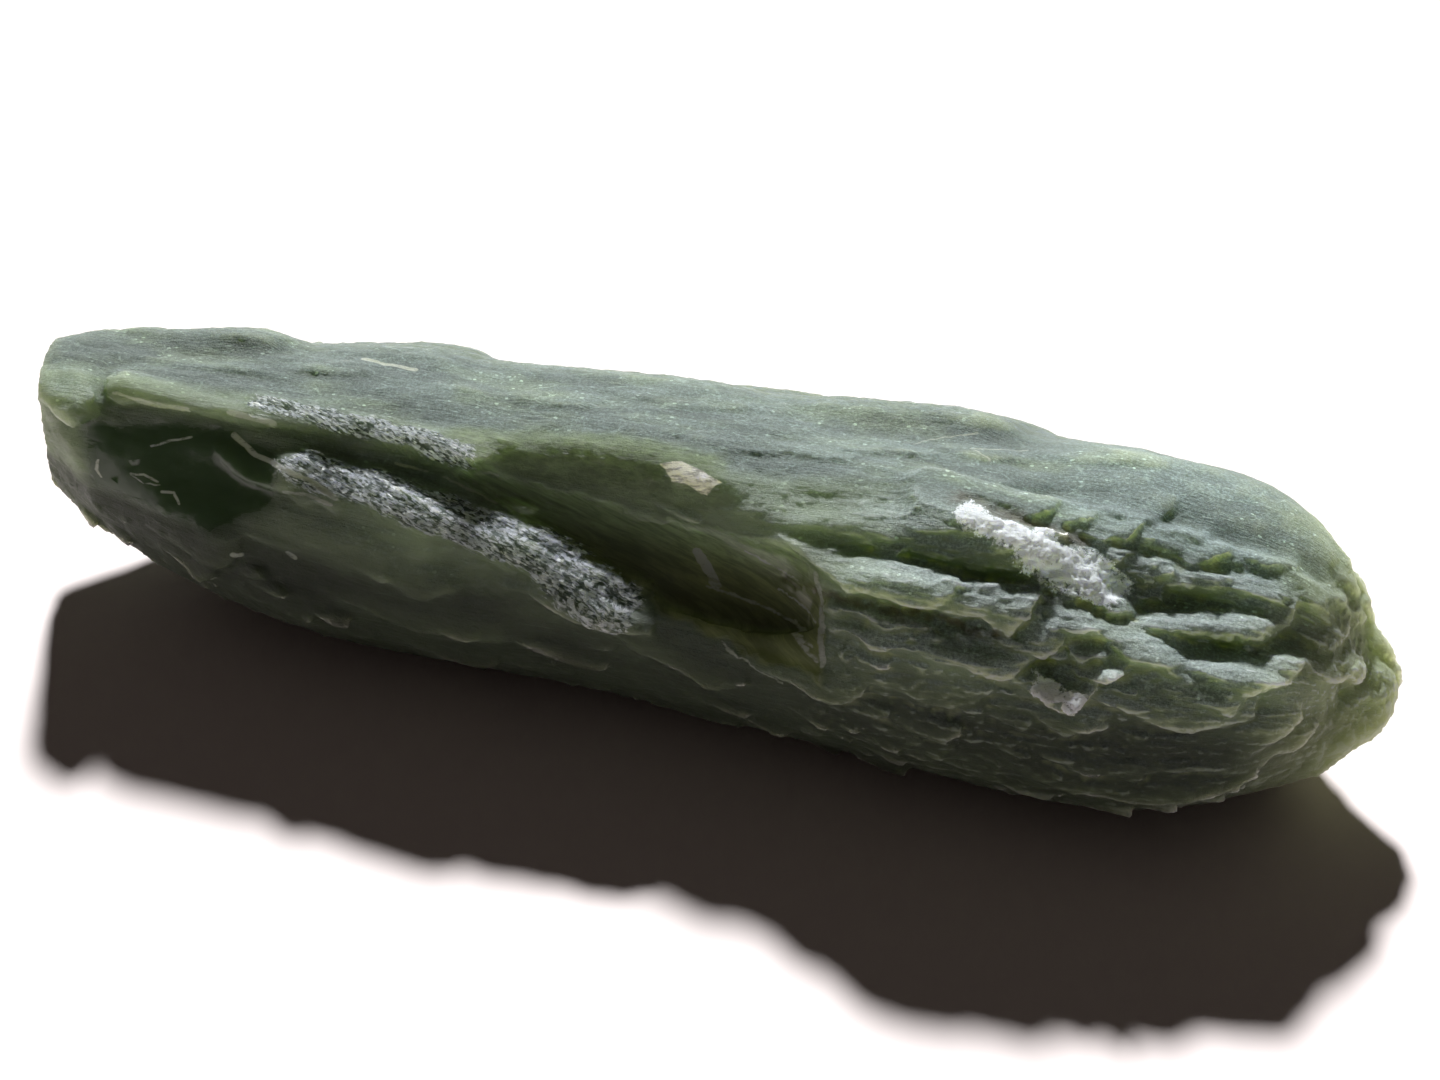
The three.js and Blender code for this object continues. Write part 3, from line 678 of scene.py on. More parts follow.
def buildReliefTree():
    tree, given, position, masks = stoneTree("stoneRelief", [
        *((name, "Float", value) for name, value in reliefHeights.items()),
        ("lowCorner", "Vector", None), ("highCorner", "Vector", None),
    ])
    normal = normalOf(tree)
    sheet, along, turn = masks["sheet"], masks["along"], masks["turn"]
    down = rise(tree, turn, 65.0, 115.0, 1.0, -1.0)
    smooth = most(tree, masks["scoop"], product(tree, masks["glassyEnd"], 0.8),
                  product(tree, masks["topSlab"], 0.75))
    rough = opposite(tree, smooth)
    endFace = rise(tree, calc(tree, "ABSOLUTE", splitVector(tree, normal)[0]), 0.75, 0.92, 1.0, 0.15)
    quiet = product(tree, rough, endFace)
    notTip = rise(tree, along, 27.0, 29.0, 1.0, 0.15)

    flakeAmount = product(tree, quiet, fade(tree, masks["top"], 1.0, 0.3), notTip,
                          fade(tree, masks["shaggy"], 0.7, 1.1), opposite(tree, masks["sparkle"]))
    flakes = shingles(tree, sheet, 2.9, 0.55, down, 0.7, 0.6, 11.0)
    flakes = product(tree, flakes, given["flakeHeight"], flakeAmount)
    chips = shingles(tree, sheet, 1.3, 0.28, down, 0.6, 0.8, 23.0)
    chips = product(tree, chips, given["chipHeight"], quiet, notTip)

    fibrePlace = vectorCalc(tree, "MULTIPLY", sheet, (0.16, 1.9, 0.0))
    fibres = minus(tree, noise(tree, fibrePlace, 1.0, 5.0, 0.7, 0.4), 0.5)
    fibres = product(tree, fibres, given["fibreHeight"], 3.0, fade(tree, smooth, 1.0, 0.12), notTip)
    pitPlace = vectorCalc(tree, "MULTIPLY", position, (0.8, 1.6, 1.6))
    pits = product(tree, rise(tree, noise(tree, pitPlace, 1.25, 4.0, 0.65), 0.36, 0.55, -1.0, 0.15),
                   given["pitDepth"], masks["top"], rough)

    # steps of the sparkling ridge run down towards the tip
    ridgeTurn = math.radians(relief["ridgeTurn"])
    turned = addNode(tree, "ShaderNodeVectorRotate", {"Vector": sheet, "Angle": ridgeTurn},
                     rotation_type="Z_AXIS").outputs[0]
    broadSteps = shingles(tree, turned, 3.4, 0.46, 1.0, 0.35, 0.7, 31.0)
    fineSteps = shingles(tree, turned, 1.5, 0.26, 1.0, 0.3, 0.8, 37.0)
    steps = total(tree, broadSteps, product(tree, fineSteps, 0.5))
    steps = product(tree, steps, given["stepHeight"], masks["sparkle"])

    crumbs = noise(tree, position, 3.2, 5.0, 0.75)
    chalk = product(tree, minus(tree, crumbs, 0.35), 2.4, given["chalkHeight"], masks["chalk"])
    swellPlace = vectorCalc(tree, "MULTIPLY", position, (0.35, 1.0, 1.0))
    slow = minus(tree, noise(tree, swellPlace, 0.42, 3.0, 0.55), 0.5)
    slow = product(tree, slow, given["swell"], 2.0, rough, fade(tree, masks["top"], 1.0, 0.55))
    groove = product(tree, masks["crevice"], given["grooveDepth"], -1.0)
    lobed = product(tree, minus(tree, noise(tree, position, 0.8, 4.0, 0.65), 0.52), given["tipLobes"],
                    rise(tree, along, 26.0, 28.5))
    height = minus(tree, total(tree, flakes, chips, fibres, pits, steps, chalk, slow, groove, lobed),
                   given["skinDepth"])
    height = total(tree, height, product(tree, smooth, given["breakLift"]))

    # edges wander a little, and stray crumbs that touch nothing go
    sideways = vectorCalc(tree, "SCALE", shake(tree, position, 0.95, 2.0, 0.6),
                          scale=product(tree, given["waviness"], fade(tree, masks["scoop"], 1.0, 0.4)))
    offset = vectorCalc(tree, "ADD", vectorCalc(tree, "SCALE", normal, scale=height), sideways)
    island = addNode(tree, "GeometryNodeInputMeshIsland").outputs["Island Index"]
    counted = addNode(tree, "GeometryNodeAccumulateField", {"Group Index": island, 0: 1},
                      data_type="INT", domain="POINT")
    stray = addNode(tree, "FunctionNodeCompare", {0: counted.outputs["Total"], 1: relief["strayPoints"]},
                    data_type="FLOAT", operation="LESS_THAN")
    whole = addNode(tree, "GeometryNodeDeleteGeometry",
                    {"Geometry": given["Geometry"], "Selection": stray.outputs[0]}, domain="POINT")
    inBox = vectorCalc(tree, "MAXIMUM", position, given["lowCorner"])
    inBox = vectorCalc(tree, "MINIMUM", inBox, given["highCorner"])
    lifted = moved(tree, whole.outputs[0], offset)
    kept = addNode(tree, "GeometryNodeSetPosition", {"Geometry": lifted, "Position": inBox})
    addNode(tree, "NodeGroupOutput", {0: kept.outputs[0]})
    return tree


storedMasks = ("scoop", "glassyEnd", "sparkle", "chalk", "crevice", "top", "under", "shaggy", "greenWedge")


def buildFinishTree():
    # stores where each finish lies, and how proud or sunken each spot is
    tree, given, position, masks = stoneTree("stoneFinish", [
        ("Blur Rounds", "Int", 14), ("Material", "Material", None),
    ])
    normal, sheet = normalOf(tree), masks["sheet"]
    numbers = {name: masks[name] for name in storedMasks}
    for name, rounds in (("proud", given["Blur Rounds"]), ("crisp", 2)):
        raised = vectorCalc(tree, "SUBTRACT", position, blur(tree, position, rounds))
        numbers[name] = vectorCalc(tree, "DOT_PRODUCT", raised, normal)
    numbers["upFacing"] = splitVector(tree, normal)[2]
    lineShift = vectorCalc(tree, "SCALE", shake(tree, position, 2.2, 4.0, 0.7), scale=0.45)
    flakeShift = vectorCalc(tree, "MULTIPLY", shake(tree, sheet, 0.7, 4.0, 0.7), (2.2, 1.1, 0.0))
    places = {
        "sheet": sheet,
        "lineSheet": vectorCalc(tree, "ADD", sheet, lineShift),
        "flakeSheet": vectorCalc(tree, "ADD", sheet, flakeShift),
    }
    geometry = given["Geometry"]
    for kind, stored in (("FLOAT", numbers), ("FLOAT_VECTOR", places)):
        for name, value in stored.items():
            geometry = addNode(tree, "GeometryNodeStoreNamedAttribute",
                               {"Geometry": geometry, "Name": name, "Value": value},
                               data_type=kind, domain="POINT").outputs[0]
    real = addNode(tree, "GeometryNodeRealizeInstances", {0: geometry})
    painted = addNode(tree, "GeometryNodeSetMaterial",
                      {"Geometry": real.outputs[0], "Material": given["Material"]})
    smooth = addNode(tree, "GeometryNodeSetShadeSmooth",
                     {"Geometry": painted.outputs[0], "Shade Smooth": True})
    addNode(tree, "NodeGroupOutput", {0: smooth.outputs[0]})
    return tree


# finishes

finish = {
    "milk": (0.250, 0.325, 0.195),       # green body seen in a break
    "deep": (0.150, 0.175, 0.080),       # glassy dark green of the scoop, painted darker as shade at its bottom
    "wedge": (0.225, 0.300, 0.160),      # dull green above the scoop
    "scoopWallLit": (0.310, 0.420, 0.220),       # upper wall of the scoop, painted lighter as if lit
    "glass": (0.034, 0.070, 0.026),      # the glassy end
    "frostTop": (0.132, 0.175, 0.172),   # weathered outer skin with its painted sheen, on the top
    "back": (0.110, 0.145, 0.098),
    # frost of the front faces, painted lighter to stand for light falling on them
    "frostFrontPaintedLight": (0.268, 0.341, 0.322),
    "edge": (0.50, 0.58, 0.35),          # thin pale edges, partly chipped and partly a painted glow of light through them
    "lip": (0.66, 0.76, 0.44),           # rims painted pale as a glow of light shining through them
    "pocketPaintedLight": (0.60, 0.66, 0.38),        # painted light: light green in the gaps between the blades, where shade falls
    "rimeAndHighlight": (0.52, 0.60, 0.56),          # frost and a painted highlight on the sharp edges
    "chalk": (0.84, 0.91, 0.92),
    "chip": (0.86, 0.86, 0.74),          # one white flake, its brightness partly a painted reflection
    "crevice": (0.100, 0.080, 0.045),    # painted shade, dark brown along the crevice
    # painted shade of the underside
    "under": (0.019, 0.026, 0.016),
    "sparkle": (0.070, 0.102, 0.080),
    "paintedGlint": (0.62, 0.69, 0.70),         # painted glints of the sparkling ridge
    "spark": (0.86, 0.92, 0.92),         # its few brightest painted glints
    "tip": (0.50, 0.58, 0.30),           # yellowish clear tip, painted lighter as a glow of light through it
    "mark": (0.42, 0.46, 0.38),          # fine pale lines
}

body = {                       # how the quartz takes light
    "ior": 1.54,
    "specular": 0.4,
    "clearShare": 0.97,        # light that goes in, and where frost lies
    "frostShare": 0.45,
    "scatterDepth": 5.0,       # mm, green goes deepest
    "scatterRadius": (0.98, 1.0, 0.70),
    "scatterForward": 0.3,
    "wallTurn": 24.0,          # degrees, how the veins of the scoop run
    "ridgeTurn": 20.0,         # and the grains of the sparkling ridge
    "bumpDepth": 0.14,         # mm
}


def shade(name, factor):
    return tuple(c * factor for c in finish[name])



# fine pale lines and scratches, as [along, turn] points with the reach to each side in mm
paleLines = [
    ([[3.4, 9], [6.2, 2]], 0.05),
    ([[2.1, 22], [4, 20], [6.7, 17], [7.3, 16]], 0.06),
    ([[3.5, 42], [6, 34]], 0.05),
    ([[1.4, 37.5], [2, 30], [2.5, 23]], 0.23),
    ([[6.9, 38], [7.3, 30], [7.6, 20], [7.9, 12]], 0.12),
    ([[6.2, 18], [7.6, 13]], 0.08),
    ([[5.2, 28], [7.2, 22]], 0.05),
    ([[-23.4, 41.5], [-22.5, 46], [-21.5, 49]], 0.07),
    ([[-24.3, 24.5], [-23.6, 26], [-22.9, 24]], 0.07),
    ([[-24.3, 24], [-23.6, 21.5], [-22.8, 22.5]], 0.05),
    ([[-22.6, 19.5], [-22, 20.5], [-21.7, 16.5]], 0.08),
    ([[-26, 28], [-26.1, 22], [-25.8, 18]], 0.07),
    ([[-25.4, 62.5], [-23.8, 60.5], [-21.8, 60.5]], 0.08),
    ([[-19.8, 61.5], [-17.8, 60.5]], 0.16),
    ([[-19.5, 53], [-18.3, 46], [-17.2, 43], [-15.6, 39], [-14.2, 34]], 0.14),
    ([[-16.7, 32], [-15.6, 33], [-14.4, 31]], 0.09),
    ([[-10, 52], [-7.5, 44]], 0.07),
    ([[-12.2, 54], [-10.8, 53]], 0.08),
    ([[-15.5, 112], [-13, 108]], 0.14),
    ([[9.3, 106], [10, 111], [11.8, 117]], 0.035),
    ([[11.8, 105], [12.8, 109], [14, 115]], 0.035),
    ([[12, 104], [12.7, 99]], 0.06),
    ([[-18.8, 2], [-18.5, 1]], 0.12),
    ([[-16.3, 6], [-16.0, 5]], 0.13),
    ([[-19.9, -14], [-20.2, -17]], 0.08),
]

whiteChip = [[-0.7, 71], [0.2, 73], [2.15, 66.5], [1.6, 61.5], [0, 65]]
lineSoftness = 0.04    # mm


def attribute(tree, name, output="Fac"):
    node = addNode(tree, "ShaderNodeAttribute", attribute_type="GEOMETRY", attribute_name=name)
    return node.outputs[output]


def stretch(tree, place, scale, turned=0.0):
    # a Mapping node hands a texture its place without any conversion
    settings = {"Vector": place, "Scale": scale, "Rotation": (0.0, 0.0, math.radians(turned))}
    return addNode(tree, "ShaderNodeMapping", settings).outputs[0]


def splitColour(tree, colour):
    return addNode(tree, "ShaderNodeSeparateColor", {0: colour}).outputs


def mixColour(tree, amount, first, second, blend="MIX"):
    node = addNode(tree, "ShaderNodeMix", data_type="RGBA", blend_type=blend)
    feed(tree, node.inputs["Factor"], amount)
    for socket, value in ((node.inputs[6], first), (node.inputs[7], second)):
        feed(tree, socket, (*value, 1.0) if isinstance(value, tuple) and len(value) == 3 else value)
    return node.outputs[2]


def mixValue(tree, amount, first, second):
    node = addNode(tree, "ShaderNodeMix", data_type="FLOAT")
    for key, value in (("Factor", amount), (2, first), (3, second)):
        feed(tree, node.inputs[key], value)
    return node.outputs[0]


def quartzMaterial():
    material = bpy.data.materials.new("greenQuartz")
    material.use_nodes = True
    tree = material.node_tree
    tree.nodes.clear()
    shader = addNode(tree, "ShaderNodeBsdfPrincipled")
    addNode(tree, "ShaderNodeOutputMaterial", {"Surface": shader.outputs[0]})
    # the fine pale lines come first, because the shader has little room to hold values
    lineSheet = attribute(tree, "lineSheet", "Vector")
    lines = None
    for path, reach in paleLines:
        line = nearPath(tree, lineSheet, path, reach, lineSoftness)
        lines = line if lines is None else most(tree, lines, line)
    chip = insideCorners(tree, lineSheet, whiteChip, lineSoftness)

    place = stretch(tree, addNode(tree, "ShaderNodeTexCoord").outputs["Object"], (1 / mm, 1 / mm, 1 / mm))
    sheet = attribute(tree, "sheet", "Vector")
    sheetPoint = stretch(tree, sheet, (1.0, 1.0, 1.0))
    masks = {name: attribute(tree, name) for name in (*storedMasks, "proud", "crisp", "upFacing")}
    along, turned = splitVector(tree, sheet)[:2]
    upper, under, shaggy, sparkle, proud, upFacing = (
        masks[name] for name in ("top", "under", "shaggy", "sparkle", "proud", "upFacing"))

    cloud = noise(tree, stretch(tree, place, (0.4, 1.0, 1.0)), 0.55, 3.0, 0.6)
    fine = noise(tree, stretch(tree, place, (0.5, 1.2, 1.2)), 3.0, 4.0, 0.7)
    glassy = most(tree, masks["scoop"], product(tree, masks["glassyEnd"], 0.95))

    # weathered frost and a painted sheen lie on what faces up, broken up by noise
    facing = rise(tree, total(tree, upFacing, product(tree, minus(tree, fine, 0.5), 0.9)), 0.25, 0.85)
    frostAndSheen = product(tree, facing, opposite(tree, glassy), fade(tree, masks["greenWedge"], 1.0, 0.15),
                      most(tree, upper, rise(tree, along, 7.0, 11.0, 0.45, 1.0)))
    colour = mixColour(tree, rise(tree, cloud, 0.3, 0.7), shade("milk", 0.75), shade("milk", 1.2))
    onSlab = rise(tree, along, 13.0, 19.0)
    frost = mixColour(tree, rise(tree, along, -27.0, -8.0), shade("frostTop", 0.7), finish["frostTop"])
    frost = mixColour(tree, onSlab, frost, shade("frostTop", 1.55))
    # the front faces get the lighter frost, as painted light
    frost = mixColour(tree, upper, finish["frostFrontPaintedLight"], frost)
    frost = mixColour(tree, product(tree, rise(tree, cloud, 0.45, 0.75), 0.45), frost, shade("milk", 0.8))
    mottle = rise(tree, noise(tree, place, 7.0, 3.0, 0.8), 0.42, 0.66)
    mottle = mixColour(tree, mottle, (0.8, 0.8, 0.8), (1.5, 1.5, 1.5))
    frost = mixColour(tree, 1.0, frost, mottle, blend="MULTIPLY")
    colour = mixColour(tree, product(tree, frostAndSheen, 0.85), colour, frost)

    # low flakes of the frosted skin, and small white specks painted on as glints
    flakePlace = stretch(tree, attribute(tree, "flakeSheet", "Vector"), (0.42, 1.3, 0.0))
    flakeTone = splitColour(tree, cells(tree, flakePlace).outputs["Color"])[0]
    flakeEdge = cells(tree, flakePlace, "DISTANCE_TO_EDGE").outputs["Distance"]
    flakeEdge = rise(tree, flakeEdge, 0.015, 0.05, 1.0, 0.0)
    fleck = cells(tree, stretch(tree, sheetPoint, (2.6, 3.4, 0.0)))
    fleckSize = product(tree, rise(tree, splitColour(tree, fleck.outputs["Color"])[1], 0.72, 1.0), 0.26)
    paintedGlintSpecks = rise(tree, minus(tree, fleck.outputs["Distance"], fleckSize), -0.05, 0.02, 1.0, 0.0)
    flakeTint = total(tree, 0.86, product(tree, flakeTone, 0.28),
                      product(tree, flakeEdge, rise(tree, fine, 0.42, 0.6), 0.55),
                      product(tree, paintedGlintSpecks, rise(tree, cloud, 0.4, 0.6), 1.4))
    tint = addNode(tree, "ShaderNodeCombineColor", {0: flakeTint, 1: flakeTint, 2: flakeTint}).outputs[0]
    tinted = product(tree, frostAndSheen, fade(tree, shaggy, 1.0, 0.6))
    colour = mixColour(tree, tinted, colour, tint, blend="MULTIPLY")

    # the dull wedge, darker colour low on the left, the back, and painted shade on the underside
    colour = mixColour(tree, product(tree, masks["greenWedge"], 0.8), colour,
                       mixColour(tree, rise(tree, fine, 0.35, 0.65), shade("wedge", 0.55), finish["wedge"]))
    lowLeft = product(tree, rise(tree, along, -9.0, -17.0), rise(tree, along, -27.5, -25.0),
                      opposite(tree, upper), 0.5)
    colour = mixColour(tree, lowLeft, colour, shade("milk", 0.4))
    behind = rise(tree, turned, 14.3, 18.2)
    colour = mixColour(tree, product(tree, behind, 0.85), colour,
                       mixColour(tree, rise(tree, fine, 0.4, 0.62), finish["back"], finish["frostTop"]))
    # painted shade: the underside is darkened
    colour = mixColour(tree, product(tree, under, 0.8), colour, finish["under"])

    # the glassy breaks, with veins and a web of fine lines; the scoop gets painted shade at its bottom and
    # painted light on its upper wall
    wallWay = stretch(tree, sheetPoint, (1.0, 1.0, 1.0), body["wallTurn"])
    veins = noise(tree, stretch(tree, wallWay, (0.35, 2.2, 0.0)), 1.0, 5.0, 0.75, 0.5)
    deep = mixColour(tree, rise(tree, veins, 0.35, 0.7), finish["deep"], shade("deep", 1.9))
    scoopWallLit = mixColour(tree, rise(tree, veins, 0.3, 0.7), shade("scoopWallLit", 0.6), shade("scoopWallLit", 1.45))
    web = noise(tree, stretch(tree, wallWay, (0.5, 1.3, 0.0)), 1.1, 3.0, 0.65)
    web = rise(tree, calc(tree, "ABSOLUTE", minus(tree, web, 0.5)), 0.0, 0.012, 1.0, 0.0)
    scoopWallLit = mixColour(tree, product(tree, web, rise(tree, fine, 0.4, 0.6), 0.6), scoopWallLit, finish["mark"])
    glass = mixColour(tree, rise(tree, masks["scoop"], 0.1, 0.6), finish["glass"],
                      mixColour(tree, rise(tree, turned, 3.2, 6.6), deep, scoopWallLit))
    colour = mixColour(tree, product(tree, glassy, 0.9), colour, glass)

    # the sparkling ridge is made of little flat facets, each leaning its own way, with painted glints in its
    # colour
    ridgeWay = stretch(tree, sheetPoint, (1.0, 1.0, 1.0), body["ridgeTurn"])
    streak = noise(tree, stretch(tree, ridgeWay, (0.8, 3.4, 0.0)), 1.6, 5.0, 0.8, 0.6)
    glitter = noise(tree, stretch(tree, ridgeWay, (3.2, 13.0, 0.0)), 1.0, 4.0, 0.75)
    facetPlace = stretch(tree, ridgeWay, (4.6, 10.0, 0.0))
    facet = cells(tree, facetPlace)
    facetHue = splitColour(tree, facet.outputs["Color"])
    glintSpots = total(tree, glitter, product(tree, streak, 0.5), product(tree, facetHue[2], 0.3))
    paintedGlints = mixColour(tree, rise(tree, glintSpots, 0.78, 1.04), finish["sparkle"], finish["paintedGlint"])
    brightest = product(tree, rise(tree, facetHue[1], 0.62, 0.8), rise(tree, glitter, 0.5, 0.6))
    paintedGlints = mixColour(tree, brightest, paintedGlints, finish["spark"])
    brokenRidge = calc(tree, "MULTIPLY_ADD", streak, 1.8, sparkle)
    colour = mixColour(tree, rise(tree, brokenRidge, 1.3, 1.55, 0.0, 0.95), colour, paintedGlints)
    # painted glow: the tip is lightened as if light shines through it
    colour = mixColour(tree, product(tree, rise(tree, along, 24.0, 30.5), 0.7), colour, finish["tip"])

    # painted light and shade: thin edges and rims painted pale as a glow of light through them, sunken spots
    # painted darker as shade, pockets of the shaggy face painted lighter
    thin = product(tree, rise(tree, along, -12.0, -3.0, 0.45, 1.0), fade(tree, behind, 1.0, 0.25))
    edge = product(tree, rise(tree, proud, 0.05, 0.2), opposite(tree, glassy), thin,
                   fade(tree, upper, 0.7, 0.3), fade(tree, under, 1.0, 0.25), most(tree, shaggy, upper, 0.35))
    colour = mixColour(tree, edge, colour, finish["edge"])
    sunken = rise(tree, proud, -0.03, -0.2)
    # painted shade: sunken spots off the shaggy face are darkened
    colour = mixColour(tree, product(tree, sunken, opposite(tree, shaggy), 0.4), colour, shade("milk", 0.5))
    # painted light: the pockets of the shaggy face are lightened
    colour = mixColour(tree, product(tree, sunken, shaggy, 0.8), colour, finish["pocketPaintedLight"])
    # painted glow on the rims of the blades
    paintedRimGlow = product(tree, rise(tree, proud, -0.01, 0.09), thin, rise(tree, upFacing, 0.8, 0.35),
                  opposite(tree, glassy), fade(tree, under, 1.0, 0.15), opposite(tree, sparkle),
                  most(tree, shaggy, product(tree, upper, rise(tree, along, 9.0, 12.0, 0.2, 0.9))), 0.8)
    colour = mixColour(tree, paintedRimGlow, colour, finish["lip"])
    # frost and a painted highlight along the sharp edges
    rimeAndHighlight = product(tree, rise(tree, masks["crisp"], 0.006, 0.026), shaggy, opposite(tree, upper),
                   opposite(tree, glassy), fade(tree, under, 1.0, 0.3), 0.65)
    colour = mixColour(tree, rimeAndHighlight, colour, finish["rimeAndHighlight"])

    # painted shade in the crevice, fine lines, the white flake and the chalky patch lie over everything
    colour = mixColour(tree, product(tree, masks["crevice"], 0.85), colour, finish["crevice"])
    lines = product(tree, lines, rise(tree, fine, 0.36, 0.5, 0.4, 1.0))
    colour = mixColour(tree, lines, colour, finish["mark"])
    # the white flake, its pale colour partly a painted reflection
    chipTone = noise(tree, stretch(tree, sheetPoint, (1.0, 3.0, 0.0)), 1.6, 3.0, 0.7)
    chipTone = mixColour(tree, rise(tree, chipTone, 0.36, 0.56), shade("chip", 0.45), finish["chip"])
    colour = mixColour(tree, product(tree, chip, 0.92), colour, chipTone)
    brokenChalk = calc(tree, "MULTIPLY_ADD", noise(tree, place, 4.0, 4.0, 0.85), 2.4, masks["chalk"])
    colour = mixColour(tree, rise(tree, brokenChalk, 1.72, 1.95), colour, finish["chalk"])

    rough = mixValue(tree, upper, rise(tree, fine, 0.3, 0.7, 0.38, 0.55), 0.64)
    for mask, value in ((glassy, 0.2), (sparkle, 0.3), (masks["chalk"], 0.7)):
        rough = mixValue(tree, mask, rough, value)

    # fine bumps: fibres along the stone, grain of the frost, facets of the sparkle
    fibre = noise(tree, stretch(tree, sheetPoint, (0.5, 5.0, 0.0)), 1.4, 5.0, 0.75)
    grain = noise(tree, place, 6.5, 3.0, 0.8)
    facetLocal = splitVector(tree, vectorCalc(tree, "SUBTRACT", facetPlace, facet.outputs["Position"]))
    facetHeight = total(tree, product(tree, facetLocal[0], minus(tree, facetHue[0], 0.5), 2.0),
                        product(tree, facetLocal[1], minus(tree, facetHue[1], 0.3), 1.5))
    bumpHeight = total(tree, product(tree, fibre, opposite(tree, glassy), 0.6),
                       product(tree, grain, opposite(tree, glassy), 0.55),
                       product(tree, streak, sparkle, 1.5),
                       product(tree, facetHeight, sparkle, 1.0))
    bump = addNode(tree, "ShaderNodeBump",
                   {"Strength": 1.0, "Distance": body["bumpDepth"] * mm, "Height": bumpHeight})

    shader.subsurface_method = "RANDOM_WALK"
    shader.inputs["IOR"].default_value = body["ior"]
    shader.inputs["Specular IOR Level"].default_value = body["specular"]
    shader.inputs["Subsurface Radius"].default_value = body["scatterRadius"]
    shader.inputs["Subsurface Scale"].default_value = body["scatterDepth"] * mm
    shader.inputs["Subsurface Anisotropy"].default_value = body["scatterForward"]
    feed(tree, shader.inputs["Base Color"], colour)
    feed(tree, shader.inputs["Roughness"], rough)
    feed(tree, shader.inputs["Normal"], bump.outputs[0])
    scattered = mixValue(tree, frostAndSheen, body["clearShare"], body["frostShare"])
    feed(tree, shader.inputs["Subsurface Weight"], scattered)
    return material


# making the stone

def evaluatedMesh(source, name):
    graph = bpy.context.evaluated_depsgraph_get()
    graph.update()
    mesh = bpy.data.meshes.new_from_object(source.evaluated_get(graph), preserve_all_data_layers=True,
                                           depsgraph=graph)
    mesh.name = name
    return mesh


def settleModifiers(piece, name):
    # the evaluated shape becomes the plain mesh
    mesh = evaluatedMesh(piece, name)
    piece.modifiers.clear()
    piece.data = mesh
    return mesh


def addRemesh(piece, name, voxel):
    remesh = piece.modifiers.new(name, "REMESH")
    remesh.mode = "VOXEL"
    remesh.voxel_size = voxel
    return remesh


def addTree(piece, name, tree):
    modifier = piece.modifiers.new(name, "NODES")
    modifier.node_group = tree
    return modifier


def scaleMatrix(factor):
    return Matrix.Diagonal((factor, factor, factor, 1.0))


def mergePoints(mesh):
    work = bmesh.new()
    work.from_mesh(mesh)
    bmesh.ops.remove_doubles(work, verts=work.verts, dist=relief["mergeWithin"])
    work.to_mesh(mesh)
    work.free()


def carveStone(stone):
    # from the plain shape of the part to the dense mesh with blades and relief, all in mm
    templates = [bladeTemplate("blade%d" % i, 40 + i, False) for i in range(4)]
    mirrored = [bladeTemplate("bladeBack%d" % i, 40 + i, True) for i in range(4)]
    addRemesh(stone, "even", relief["coarseVoxel"])
    addTree(stone, "settle", buildSettleTree())
    skinMesh = settleModifiers(stone, "rawStoneBase")
    addTree(stone, "scatter", buildScatterTree(templates, mirrored))
    settleModifiers(stone, "rawStoneScattered")
    addLaidBlades(stone.data, skinMesh)
    addRemesh(stone, "fuse", relief["voxel"]).use_smooth_shade = True
    soften = stone.modifiers.new("soften", "SMOOTH")
    soften.factor = relief["smoothing"]
    soften.iterations = relief["smoothRounds"]
    shape = addTree(stone, "relief", buildReliefTree())
    low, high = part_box("green_quartz")
    setInput(shape, "lowCorner", tuple(c / mm + relief["insideBox"] for c in low))
    setInput(shape, "highCorner", tuple(c / mm - relief["insideBox"] for c in high))
    dense = settleModifiers(stone, "rawStoneDense")
    for template in templates + mirrored:
        bpy.data.objects.remove(template)
    print("relief made:", len(dense.polygons), "faces")
    return dense


def thinStone(stone, dense):
    # the shaggy face keeps more of its points than the quiet skin
    shaggyWeight, (lowest, highest) = relief["shaggyWeight"], relief["shaggyTurns"]
    weights = stone.vertex_groups.new(name="quiet")
    lots = {shaggyWeight: [], 1.0: []}
    for vertex in dense.vertices:
        x, y, z = vertex.co
        turn = math.degrees(math.atan2(z - layout["heartZ"], layout["heartY"] - y))
        shaggy = lowest < turn < highest and x > relief["shaggyFrom"]
        lots[shaggyWeight if shaggy else 1.0].append(vertex.index)
    for weight, members in lots.items():
        weights.add(members, weight, "REPLACE")
    thin = stone.modifiers.new("thin", "DECIMATE")
    thin.vertex_group = "quiet"
    thin.vertex_group_factor = 1.0
    thin.ratio = min(1.0, relief["triangles"] / (2 * len(dense.polygons)))


def makeStone(node):
    mesh = node.data.copy()
    mesh.transform(scaleMatrix(1 / mm))
    mesh.materials.clear()
    mergePoints(mesh)
    stone = bpy.data.objects.new("rawStone", mesh)
    bpy.context.scene.collection.objects.link(stone)
    thinStone(stone, carveStone(stone))
    paint = addTree(stone, "finish", buildFinishTree())
    setInput(paint, "Material", quartzMaterial())
    final = settleModifiers(stone, "rawStone")
    final.transform(scaleMatrix(mm))
    final.calc_loop_triangles()
    print("stone finished:", len(final.loop_triangles), "triangles")
    return stone


stone = makeStone(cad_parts["green_quartz"])
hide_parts("green_quartz")
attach(stone, "root")

# floor, light, camera

studio = {
    "cameraTurn": 15.47,       # degrees round from the front
    "cameraRise": 40.0,
    "cameraDistance": 132.59,  # mm
    "cameraLens": 75.0,
    "cameraSees": (0.005, 20.0),    # m, nearest and farthest
    "aim": (0.69, 1.86, 5.0),
    "sunTurn": 196.4,
    "sunRise": 40.0,
    "sunPower": 6.2,
    "sunSpread": 6.0,          # degrees, softness of the shadow
    "skyLight": 0.034,
    "skyColour": (1.0, 0.83, 0.75),
    "backdropLight": 0.95,     # what the camera sees past the floor
    "backdropColour": (0.97, 0.99, 1.0),
    "floor": (0.90, 0.81, 0.80),
    "floorRoughness": 0.6,
    "floorReach": 3.0,         # m to each side
}


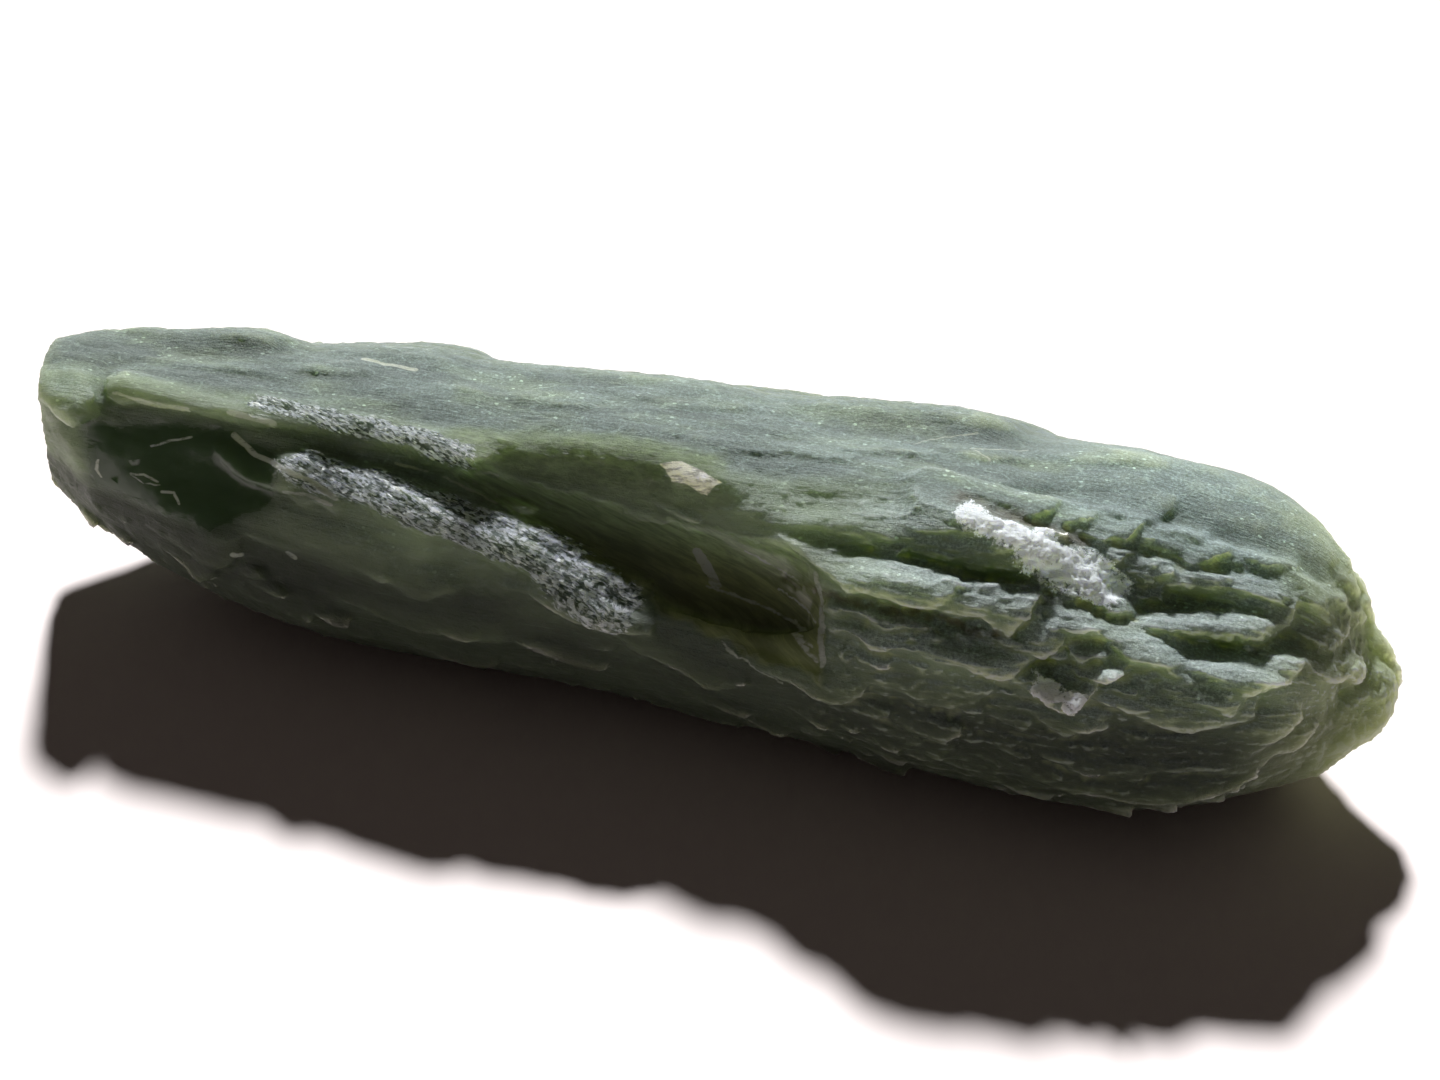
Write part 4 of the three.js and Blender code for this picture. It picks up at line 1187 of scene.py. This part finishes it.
def directionTo(turn, rise):
    a, e = math.radians(turn), math.radians(rise)
    return Vector((math.sin(a) * math.cos(e), -math.cos(a) * math.cos(e), math.sin(e)))


def makeFloor():
    half = studio["floorReach"]
    mesh = bpy.data.meshes.new("floor")
    corners = [(-half, -half, 0), (half, -half, 0), (half, half, 0), (-half, half, 0)]
    mesh.from_pydata(corners, [], [(0, 1, 2, 3)])
    floor = bpy.data.objects.new("floor", mesh)
    bpy.context.scene.collection.objects.link(floor)
    paint = bpy.data.materials.new("palePaint")
    paint.use_nodes = True
    shader = paint.node_tree.nodes["Principled BSDF"]
    shader.inputs["Base Color"].default_value = (*studio["floor"], 1.0)
    shader.inputs["Roughness"].default_value = studio["floorRoughness"]
    mesh.materials.append(paint)


def makeLights():
    sun = bpy.data.lights.new("key", "SUN")
    sun.energy = studio["sunPower"]
    sun.angle = math.radians(studio["sunSpread"])
    key = bpy.data.objects.new("key", sun)
    key.rotation_mode = "QUATERNION"
    key.rotation_quaternion = directionTo(studio["sunTurn"], studio["sunRise"]).to_track_quat("Z", "Y")
    bpy.context.scene.collection.objects.link(key)
    world = bpy.data.worlds.new("paleRoom")
    world.use_nodes = True
    tree = world.node_tree
    background = tree.nodes["Background"]
    seen = addNode(tree, "ShaderNodeLightPath").outputs["Is Camera Ray"]
    feed(tree, background.inputs["Strength"], fade(tree, seen, studio["skyLight"], studio["backdropLight"]))
    hue = mixColour(tree, seen, studio["skyColour"], studio["backdropColour"])
    feed(tree, background.inputs["Color"], hue)
    bpy.context.scene.world = world


def makeCamera():
    lens = bpy.data.cameras.new("camera")
    lens.lens = studio["cameraLens"]
    lens.clip_start, lens.clip_end = studio["cameraSees"]
    camera = bpy.data.objects.new("camera", lens)
    back = directionTo(studio["cameraTurn"], studio["cameraRise"])
    camera.location = (Vector(studio["aim"]) + back * studio["cameraDistance"]) * mm
    camera.rotation_mode = "QUATERNION"
    camera.rotation_quaternion = back.to_track_quat("Z", "Y")
    bpy.context.scene.collection.objects.link(camera)
    bpy.context.scene.camera = camera


makeFloor()
makeLights()
makeCamera()
bpy.context.scene.view_settings.view_transform = "Standard"
print("studio set")
